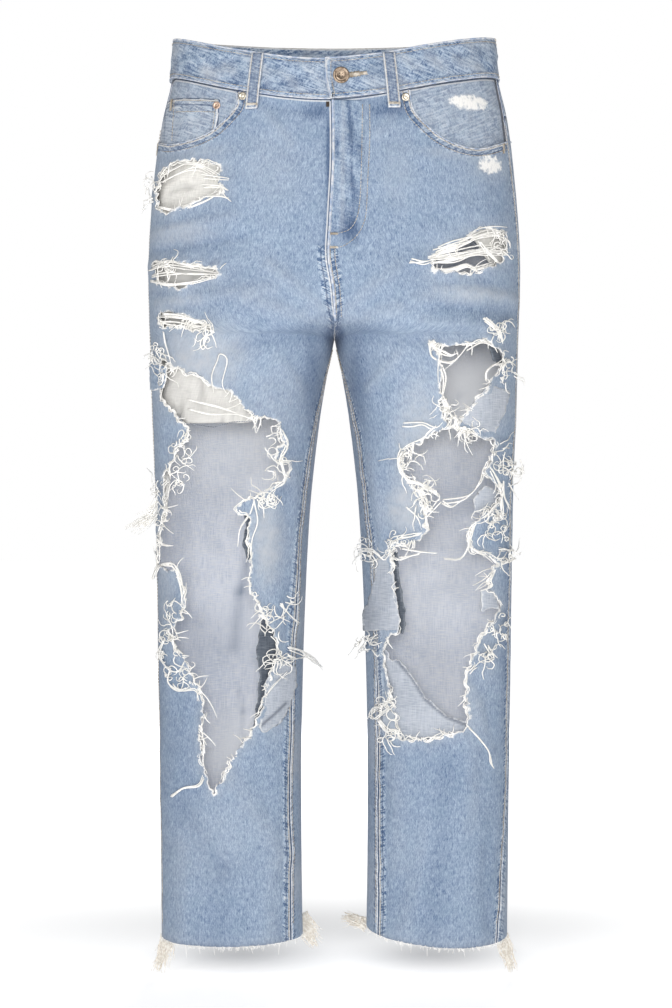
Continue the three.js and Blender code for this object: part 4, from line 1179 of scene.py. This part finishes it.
# Corded edges: the folded edge of the cloth along the waistband, fly and scoops
cord = {"radius": 0.75, "flyWidth": 1.2, "backWidth": 0.8, "sides": 5, "points": 400}
backFirst, backLast = band["overlap"] + band["perPanel"], band["overlap"] + 3 * band["perPanel"]
backEdge = (bandOuter[0, backFirst:backLast + 1] + (0, 0, 0.1))[None]
dress(tubes("back_top_edge", backEdge, cord["backWidth"], cord["sides"]), tanThread)
z = np.linspace(-54, -262, 160)
cords = [
    bandOuter[-1, :count - 8] + (0, 0, 0.4),
    bandOuter[0, :backFirst + 1] + (0, 0, -0.3),
    bandOuter[0, backLast:count - 8] + (0, 0, -0.3),
    bandOuter[:, 0],
    onCloth(along(body["flyEdge"], z) + 0.8, z, 0.6 + 0.9 * (z > -184)),
]
for side in legs:
    scoop = curve(scoops[side], 50)
    scoop = scoop[np.abs(scoop[:, 0]) < 177]
    cords.append(onCloth(scoop[:, 0], scoop[:, 1], -0.3))
cordRadii = np.full((len(cords), 1), cord["radius"])
cordRadii[4] = cord["flyWidth"]
cordPaths = np.array([resampled(c, 0.5, cord["points"]) for c in cords])
cordFinish = threadFinish("folded_edge", linear(208, 210, 214), linear(150, 166, 192), 5)
dress(tubes("folded_edges", cordPaths, cordRadii, cord["sides"]), cordFinish)
print("sewing ready")

# Loose threads. Each row is how many strands, then places (x, z) it passes
strands = {
    "right": [
        [3, (-170, -122), (-155, -115), (-140, -112), (-125, -116), (-112, -124)],
        [2, (-168, -128), (-150, -120), (-135, -118), (-120, -124)],
        [4, (-172, -152), (-155, -157), (-138, -153), (-120, -146), (-110, -140)],
        [3, (-130, -126), (-115, -129), (-103, -131)], [3, (-126, -137), (-110, -138), (-102, -141)],
        [3, (-124, -145), (-109, -146), (-101, -150)],
        [2, (-117, -279), (-124, -284), (-128, -289), (-124, -294), (-118, -291)],
        [2, (-166, -278), (-163, -289), (-158, -306)],
        [1, (-117, -336), (-118, -319), (-114, -305), (-109, -298), (-105, -305), (-107, -324), (-105, -337)],
        [2, (-142, -343), (-125, -347), (-106, -353), (-91, -358)],
        [2, (-140, -351), (-120, -356), (-95, -356), (-76, -363)],
        [3, (-51, -372), (-46, -386), (-53, -401), (-49, -419), (-57, -426), (-65, -432), (-66, -443),
         (-58, -446), (-55, -437)],
        [1, (-78, -439), (-84, -455), (-92, -469), (-96, -485)],
        [1, (-77, -440), (-76, -460), (-79, -479), (-81, -498)],
        [1, (-76, -438), (-70, -445), (-69, -456)],
        [2, (-175, -479), (-166, -484), (-156, -485)],
        [4, (-178, -518), (-173, -507), (-164, -503), (-156, -505), (-151, -514), (-148, -528), (-147, -542)],
        [2, (-53, -542), (-46, -552), (-37, -562)],
        [4, (-46, -586), (-34, -591), (-22, -600), (-14, -608)],
        [2, (-69, -631), (-61, -620), (-49, -609)],
        [3, (-159, -732), (-146, -723), (-132, -720), (-126, -709)],
        [2, (-166, -578), (-172, -594), (-164, -606), (-152, -609), (-147, -599)],
        [2, (-160, -605), (-162, -619), (-152, -627), (-137, -626), (-133, -636)],
        [1, (-130, -662), (-126, -680), (-129, -697), (-124, -709)],
        [4, (-179, -211), (-160, -210), (-140, -214), (-112, -219)],
        [3, (-178, -218), (-160, -219), (-138, -221), (-113, -221)],
        [4, (-178, -224), (-160, -229), (-138, -229), (-116, -224)],
        [4, (-168, -259), (-150, -263), (-130, -269), (-116, -275)],
        [3, (-169, -267), (-152, -269), (-136, -272), (-118, -276)],
    ],
    "left": [
        [3, (73, -211), (85, -211), (95, -210)],
        [10, (92, -209), (113, -206), (131, -201), (148, -198), (167, -197)],
        [8, (97, -203), (110, -197), (126, -191), (133, -186), (149, -181), (166, -179)],
        [4, (140, -189), (147, -197), (157, -208)],
        [6, (94, -218), (110, -219), (126, -213), (135, -216), (154, -210)],
        [2, (92, -288), (95, -301), (110, -307), (118, -302), (118, -296)],
        [3, (92, -289), (98, -293), (106, -297), (113, -300), (117, -297)],
        [2, (127, -294), (140, -286), (153, -291), (158, -295)],
        [1, (159, -275), (164, -265), (172, -264), (176, -269)],
        [6, (144, -265), (159, -277), (161, -286)],
        [2, (147, -325), (147, -314), (156, -307), (166, -308)],
        [4, (104, -313), (106, -324), (104, -343)],
        [5, (106, -343), (109, -353), (106, -364)],
        [2, (67, -367), (77, -367), (86, -366), (94, -370), (100, -369), (106, -365)],
        [2, (99, -370), (92, -374), (86, -380), (74, -386), (68, -391)],
        [6, (67, -393), (65, -401), (66, -412), (73, -422), (84, -424), (94, -430), (102, -437)],
        [2, (104, -441), (122, -438), (134, -433), (141, -422), (144, -411), (152, -404), (153, -392),
         (155, -381)],
        [2, (104, -441), (114, -446), (124, -438)],
        [5, (82, -428), (89, -442), (86, -452), (89, -462), (88, -472)],
        [2, (102, -441), (94, -450), (89, -457)],
        [1, (72, -447), (82, -456), (87, -467)],
        [3, (87, -472), (74, -474), (62, -477), (54, -486)],
        [2, (67, -487), (85, -491), (101, -492)],
        [2, (66, -497), (77, -494), (85, -491)],
        [3, (26, -490), (40, -490), (50, -497), (56, -489)],
        [3, (118, -358), (118, -369), (126, -370), (134, -375), (139, -379)],
        [1, (181, -399), (185, -409), (181, -422), (168, -427)],
        [3, (151, -408), (159, -422), (163, -430), (163, -441), (164, -451), (162, -457), (151, -461)],
        [3, (164, -422), (166, -437), (171, -448)],
        [1, (171, -424), (176, -434), (182, -441)],
        [3, (162, -441), (155, -448), (150, -455), (137, -462), (132, -471), (132, -482), (129, -489),
         (122, -498), (107, -498)],
        [3, (132, -486), (140, -491), (150, -491)],
        [4, (150, -493), (163, -501), (178, -497)],
        [2, (158, -503), (153, -512), (150, -519), (153, -523), (142, -528)],
        [3, (28, -591), (32, -579), (44, -573)],
        [1, (36, -588), (40, -588), (45, -592), (48, -589)],
        [2, (149, -581), (153, -590), (158, -594)],
        [2, (130, -610), (135, -606), (140, -603)],
        [3, (54, -628), (56, -634), (50, -642), (41, -646), (38, -652), (41, -657), (50, -650), (59, -641)],
        [3, (45, -657), (53, -667), (60, -666), (63, -674)],
        [2, (131, -661), (141, -672), (151, -685), (153, -697), (156, -703)],
    ],
}
# Tangled places as (x, z, half width, half height)
tangles = {
    "right": [
        (-160, -588, 12, 18), (-150, -612, 14, 14), (-63, -543, 20, 16), (-61, -396, 10, 24),
        (-69, -440, 10, 10), (-173, -295, 7, 7), (-172, -440, 8, 24), (-158, -556, 10, 18),
        (-61, -577, 8, 26),
        (-145, -391, 8, 14), (-155, -417, 10, 10), (-164, -315, 6, 8), (-55, -597, 10, 8),
        (-163, -213, 10, 4), (-122, -276, 8, 6), (-178, -133, 5, 14),
    ],
    "left": [
        (110, -353, 6, 12), (72, -404, 9, 16), (93, -428, 14, 9), (88, -445, 8, 14), (60, -485, 13, 12),
        (32, -491, 9, 10), (163, -401, 12, 18), (170, -411, 10, 12), (159, -472, 10, 10), (165, -495, 13, 10),
        (168, -311, 9, 20), (159, -564, 9, 12), (51, -643, 10, 10), (32, -579, 8, 10), (132, -374, 10, 6),
        (162, -191, 4, 10), (159, -275, 8, 10), (154, -455, 8, 8), (55, -671, 8, 5), (150, -592, 5, 8),
    ],
}
fraying = {
    "points": 12, "spacing": 1.5, "length": 7.0, "droop": -0.16, "perTangle": 14, "seed": 12,
    "edgeYarns": 2.4, "radius": 0.7, "strandRadius": 0.85, "strandPoints": 24,
    "standOff": 6.0, "fallBack": 1.6,  # how far threads stand past the sides, and how they fall behind them
}


def fringeOf(outline, random):
    # Short threads from all round a hole: each starts on the cloth and points inwards, turned by a random
    # angle, bends by the square of its running length and droops by the same
    line = evenly(np.vstack([outline, outline[:1]]), fraying["spacing"])[:-1]
    ahead = np.roll(line, -1, 0) - np.roll(line, 1, 0)
    ahead /= np.linalg.norm(ahead, axis=1, keepdims=True) + 1e-9
    area = (outline[:, 0] * np.roll(outline[:, 1], -1) - outline[:, 1] * np.roll(outline[:, 0], -1)).sum()
    inward = np.stack([-ahead[:, 1], ahead[:, 0]], -1) * np.sign(area)
    keep = random.uniform(0, 1, len(line)) < 0.12 + 0.5 * ripple(line[:, 0], line[:, 1], 26, fraying["seed"])
    line, ahead, inward = line[keep], ahead[keep], inward[keep]
    turn = random.normal(0, 0.65, len(line))[:, None]
    heading = inward * np.cos(turn) + ahead * np.sin(turn)
    length = random.gamma(2.0, fraying["length"] / 2, len(line))[:, None, None]
    bend = random.normal(0, 0.45, len(line))[:, None, None]
    t = np.linspace(0, 1, fraying["points"])[None, :, None]
    side = np.stack([-heading[:, 1], heading[:, 0]], -1)
    place = line[:, None] - heading[:, None] * 2 + heading[:, None] * t * length
    place = place + side[:, None] * bend * length * t ** 2
    droop = np.array([0, fraying["droop"]]) * length * t ** 2
    lift = 0.9 + random.uniform(0, 1.6, (len(line), 1)) * np.sin(np.pi * t[..., 0]) + 1.8 * t[..., 0]
    return np.concatenate([place + droop, lift[..., None]], -1)


def edgingOf(outline, random):
    # Loosened yarns that lie along a torn edge, a little in and out of it by a random walk
    line = evenly(np.vstack([outline, outline[:1]]), 2.0)[:-1]
    ahead = np.roll(line, -1, 0) - np.roll(line, 1, 0)
    side = np.stack([-ahead[:, 1], ahead[:, 0]], -1) / (np.linalg.norm(ahead, axis=1, keepdims=True) + 1e-9)
    count = max(2, int(len(line) * fraying["edgeYarns"] / fraying["points"]))
    start = random.integers(0, len(line), (count, 1))
    index = (start + np.arange(fraying["points"])) % len(line)
    astray = random.normal(0, 0.8, (count, 1)) + np.cumsum(random.normal(0, 0.35, index.shape), 1)
    place = line[index] + side[index] * astray[..., None]
    lift = 0.7 + random.uniform(0, 1.2, (count, 1)) + 0.4 * np.sin(index * 0.9)
    return np.concatenate([place, lift[..., None]], -1)


def tangleOf(x, z, wide, tall, random, count):
    # Threads that wander from places in an ellipse: each heading is the running sum of small turns
    angle, out = random.uniform(0, 2 * np.pi, count), np.sqrt(random.uniform(0, 1, count))
    start = np.stack([x + wide * out * np.cos(angle), z + tall * out * np.sin(angle)], -1)
    steps = fraying["points"] - 1
    bend = random.normal(0, 0.42, (count, 1)) + random.normal(0, 0.28, (count, steps))
    turn = random.uniform(0, 2 * np.pi, (count, 1)) + np.cumsum(bend, 1)
    pace = random.uniform(1.0, 2.2, (count, 1))
    path = np.cumsum(np.stack([np.cos(turn) * pace, np.sin(turn) * pace - 0.25], -1), 1)
    place = np.concatenate([start[:, None], start[:, None] + path], 1)
    lift = 1.0 + random.uniform(0, 3.2, (count, 1)) + 0.8 * np.sin(np.linspace(0, 6, steps + 1))[None]
    return np.concatenate([place, lift[..., None]], -1)


def bundleOf(row, random):
    # Several strands that follow one route side by side, each a little astray
    paths = []
    for _ in range(row[0]):
        places = np.array(row[1:], float)
        places = places + random.normal(0, 0.5 + 0.16 * row[0], (1, 2)) + random.normal(0, 0.8, places.shape)
        lift = random.uniform(1.2, 2.6) + random.normal(0, 0.3, len(places))
        paths.append(curve(np.column_stack([places, lift]), fraying["strandPoints"]))
    return paths


def threadPlace(x, z, lift):
    # On the cloth in front. Past its outer and inner edges a thread keeps the depth that it had near them,
    # and falls back in proportion to how far it is past
    centre, half, _ = section(z)
    near = np.sign(x) * np.clip(np.abs(x), centre - half + 5 * (z < body["crotch"]), centre + half - 7)
    place = surface(np.sign(x), angleAt(np.sign(x), near, z), z, lift)
    place[..., 0] += x - near
    place[..., 1] += fraying["fallBack"] * np.abs(x - near)
    return place


for side in legs:
    random = np.random.default_rng(fraying["seed"] + (side == "left"))
    short = [fringeOf(outline, random) for outline in tornEdges[side]]
    short += [edgingOf(outline, random) for outline in tornEdges[side]]
    short += [tangleOf(*spot, random, fraying["perTangle"]) for spot in tangles[side]]
    short = np.concatenate(short)
    long = np.array([path for row in strands[side] for path in bundleOf(row, random)])
    for name, routes, radius in ((f"{side}_rip_fringe", short, fraying["radius"]),
                                 (f"{side}_rip_threads", long, fraying["strandRadius"])):
        away, most = np.abs(routes[..., 0]), fraying["standOff"]
        past = np.maximum(away - along(body["outerEdge"], routes[..., 1]), 0)
        x = np.sign(routes[..., 0]) * (away - past + most * np.tanh(past / most))
        paths = threadPlace(x, routes[..., 1], np.maximum(routes[..., 2], 0.8))
        thin = radius * (1 - 0.55 * np.linspace(0, 1, paths.shape[1]) ** 3)
        dress(tubes(name, paths, thin), thread)
        print(name, len(paths), "threads")

# Raw hems and the long tufts at the ends of the side seams
hemFringe = {"count": 620, "length": 2.6, "longEvery": 24, "longer": 3.4, "radius": 0.32, "sway": 1.6}
for side, leg in legs.items():
    random = np.random.default_rng(40 + leg["sign"])
    degrees = np.sort(random.uniform(-180, 180, hemFringe["count"]))
    z = hemHeight(leg, degrees)
    t = np.linspace(0, 1, 6)[None]
    length = random.gamma(4, hemFringe["length"] / 4, (len(z), 1)).clip(1, 6)
    length[::hemFringe["longEvery"]] *= hemFringe["longer"]
    sway = random.normal(0, hemFringe["sway"], (len(z), 1))
    turn = degrees[:, None] + (sway * t ** 1.5 + random.normal(0, 0.8, (len(z), 1)) * t)
    reach = -0.5 + 0.8 * t * random.normal(0, 1, (len(z), 1))
    paths = surface(leg["sign"], turn, z[:, None] + 1.2 - length * t, reach)
    piece = tubes(f"{side}_hem_fringe", paths, hemFringe["radius"] * (1 - 0.4 * t))
    dress(piece, thread, f"hem_fringe_{side}")

# Tufts: root and tip (x, z), depth, width, number of strands, how far they bow, and their radius
tufts = [
    ("tuft_hem_right_outer", (-166, -876), (-175, -914), 4, 15, 74, 0, 0.62, creamThread),
    ("tuft_hem_right_inner", (-36, -858), (-15, -888), 12, 20, 80, 0, 0.62, creamThread),
    ("tuft_hem_left_inner", (33, -866), (7, -857), 12, 12, 60, 0, 0.62, creamThread),
    ("tuft_hem_left_outer", (167, -874), (178, -912), -2, 14, 70, 0, 0.62, creamThread),
    ("tuft_thigh_right", (-170, -410), (-206, -470), -22, 11, 90, 15, 0.8, thread),
]
for node, root, tip, y, width, number, bow, radius, finish in tufts:
    # Each strand runs from root towards tip, aside by its share of the width, a bow and two waves
    random = np.random.default_rng(len(node))
    root, tip = np.array(root, float), np.array(tip, float)
    way = (tip - root) / np.linalg.norm(tip - root)
    across = np.array([-way[1], way[0]])
    spread = random.uniform(-0.5, 0.5, (number, 1))
    reach = random.uniform(0.45, 1.0, (number, 1))
    t = np.linspace(0, 1, 10)[None]
    wander = spread * width * (1 - 0.3 * t) + random.normal(0, 3.0, (number, 1)) * t ** 2
    wave = random.normal(0, 1.2, (number, 1))
    wander = wander + wave * np.sin(2 * np.pi * t + random.uniform(0, 6, (number, 1)))
    wander = wander + bow * np.sin(np.pi * np.minimum(t * reach, 1))
    place = root + way * (t * reach * np.linalg.norm(tip - root))[..., None] + across * wander[..., None]
    depth = y + random.normal(0, 1.2, (number, 1)) * t + random.normal(0, 1.0, (number, 1))
    paths = np.stack([place[..., 0], depth, place[..., 1]], -1)
    dress(tubes(node.replace("tuft", "thread_tuft"), paths, radius * (1 - 0.5 * t)), finish, node)
print("threads ready")


def turned(name, profile, x, z, lift, material, node, slotName, sides=48):
    # A profile of [radius, height] turned about the cloth's normal: cosine and sine on two ways across it
    centre = onCloth(x, z, lift)
    away = onCloth(x, z, lift + 1) - centre
    near = onCloth([x - 1, x + 1], [z, z], lift)
    right = near[1] - near[0]
    right /= np.linalg.norm(right)
    up = np.cross(right, (0, 1, 0)) * -1
    out = np.cross(right, up)
    out = out if out[1] < 0 else -out
    up = np.cross(out, right)
    profile = np.array(profile, float)
    turn = np.arange(sides) * 2 * np.pi / sides
    ring = right * np.cos(turn)[:, None] + up * np.sin(turn)[:, None]
    points = centre + profile[:, 0, None, None] * ring[None] + profile[:, 1, None, None] * out
    index = np.arange(points.size // 3).reshape(points.shape[:2])
    a, b = index[:-1], index[1:]
    quads = np.stack([a, b, np.roll(b, -1, 1), np.roll(a, -1, 1)], -1).reshape(-1, 4)
    caps = [index[0][None, :], index[-1][None, ::-1]]
    dress(addMesh(name, points.reshape(-1, 3), [quads] + caps), material, node)


button = {
    "x": 6.3, "z": -31, "lift": 5.2, "dotSpacing": 1.3, "dotRadius": 0.5,
    "profile": [(0.3, 0), (3, 0), (3, 0.8), (7.2, 0.9), (8.0, 1.5), (8.1, 2.1), (7.7, 2.7), (6.9, 3.0),
                (6.1, 2.9), (5.6, 2.3), (5.0, 2.2), (4.6, 2.6), (4.0, 2.6), (3.6, 2.1), (0.3, 2.0)],
}
turned("button_face", button["profile"], button["x"], button["z"], button["lift"], copper, "button", "copper")
dots = np.array([onCloth([button["x"] + dx] * 2, [button["z"] + dz] * 2, [7.0, 7.5])
                 for dx in (-button["dotSpacing"], button["dotSpacing"])
                 for dz in (-button["dotSpacing"], button["dotSpacing"])])
dress(tubes("button_dots", dots, button["dotRadius"], 8), darkMetal)
rivet = [(0.3, 0), (3.6, 0), (4.2, 0.5), (3.9, 1.0), (3.1, 1.3), (2.4, 1.2), (1.9, 0.8), (1.3, 0.7),
         (0.9, 1.0), (0.3, 1.1)]
turned("rivet_cap_right", rivet, -89, -48.6, 0.3, steel, "rivet_right", "steel")
turned("rivet_cap_left", rivet, 68.8, -50.2, 0.3, steel, "rivet_left", "steel")
turned("rivet_cap_coin", rivet, -114.5, -56, -1.2, paleCopper, "rivet_coin", "copper")
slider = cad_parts["zip_slider"]
slider.data.materials.clear()
slider.data.materials.append(darkMetal)
print("metal ready")

# Stage: a pale floor just under the hems, its glow painted darker under and behind the hems as a soft
# shadow; soft light from all round and from in front
stage = {
    "floor": -0.9165, "size": 40,
    # Painted shadows on the floor's glow, as x, y, half width, half depth and how dark
    "shades": [(-0.1, 0.13, 0.12, 0.14, 0.72), (0.104, 0.13, 0.12, 0.14, 0.72), (0, 0.34, 0.5, 0.3, 0.5)],
    "glow": 0.82, "near": 0.8, "far": 3.5, "sky": 0.27, "aim": (0, 0, -0.45),
    # Each lamp's place, size and power
    "lamps": {"front": ((-0.04, -3.0, -0.32), 0.45, 38.5), "key": ((-0.9, -2.9, 0.6), 0.9, 18),
              "fill": ((0.7, -3.3, -0.6), 0.8, 12), "behind": ((0.4, 3.2, 0.1), 0.8, 42)},
    "camera": (0.0015, -2.8, -0.444), "lens": 100, "sensor": 36,
}
bpy.ops.mesh.primitive_plane_add(size=stage["size"], location=(0, 0, stage["floor"]))
floor = bpy.context.object
floor.name = "floor"
f = Finish("pale_floor", 0.9)
f.done(f.mix(f.noise(400, 2.0), (0.86, 0.86, 0.86, 1), (0.88, 0.88, 0.88, 1)))
shade = 0.0
for x, y, wide, deep, much in stage["shades"]:
    away = f.node("ShaderNodeVectorMath", {"operation": "SUBTRACT"}, {0: f.place, 1: (x, y, 0)}).outputs[0]
    away = f.node("ShaderNodeVectorMath", {"operation": "DIVIDE"}, {0: away, 1: (wide, deep, 1.0)}).outputs[0]
    away = f.node("ShaderNodeVectorMath", {"operation": "LENGTH"}, {0: away}).outputs["Value"]
    shade = Wire(f, away).between(1.0, 0.0) * much + shade
away = Wire(f, f.node("ShaderNodeVectorMath", {"operation": "LENGTH"}, {0: f.place}).outputs["Value"])
glow = f.mix(away.between(stage["near"], stage["far"]), (0.7, 0.7, 0.7, 1), (1, 1, 1, 1))
# The painted shadow takes away from the glow
glow = f.mix(shade.clamped(), glow, (0, 0, 0, 1))
f.tree.links.new(glow.socket, f.shader.inputs["Emission Color"])
f.shader.inputs["Emission Strength"].default_value = stage["glow"]
floor.data.materials.append(f.material)

# A white surround, dimmer as light than it looks
world = bpy.data.worlds.new("studio")
bpy.context.scene.world = world
world.use_nodes = True
nodes, links = world.node_tree.nodes, world.node_tree.links
path = nodes.new("ShaderNodeLightPath")
strength = nodes.new("ShaderNodeMapRange")
strength.inputs["To Min"].default_value = stage["sky"]
strength.inputs["To Max"].default_value = 1.0
links.new(path.outputs["Is Camera Ray"], strength.inputs["Value"])
background = nodes["Background"]
background.inputs["Color"].default_value = (1, 1, 1, 1)
links.new(strength.outputs[0], background.inputs["Strength"])

for name, (place, size, power) in stage["lamps"].items():
    light = bpy.data.lights.new(name, "AREA")
    light.shape, light.size, light.energy = "DISK", size, power
    lamp = bpy.data.objects.new(name, light)
    lamp.location = place
    way = np.array(stage["aim"], float) - np.array(place, float)
    lamp.rotation_euler = (np.arctan2(np.hypot(way[0], way[1]), -way[2]), 0, np.arctan2(-way[0], way[1]))
    bpy.context.scene.collection.objects.link(lamp)

camera = bpy.data.objects.new("camera", bpy.data.cameras.new("camera"))
camera.location = stage["camera"]
camera.rotation_euler = (np.pi / 2, 0, 0)
camera.data.lens = stage["lens"]
camera.data.sensor_width = stage["sensor"]
bpy.context.scene.collection.objects.link(camera)
bpy.context.scene.camera = camera
bpy.context.scene.view_settings.view_transform = "Standard"
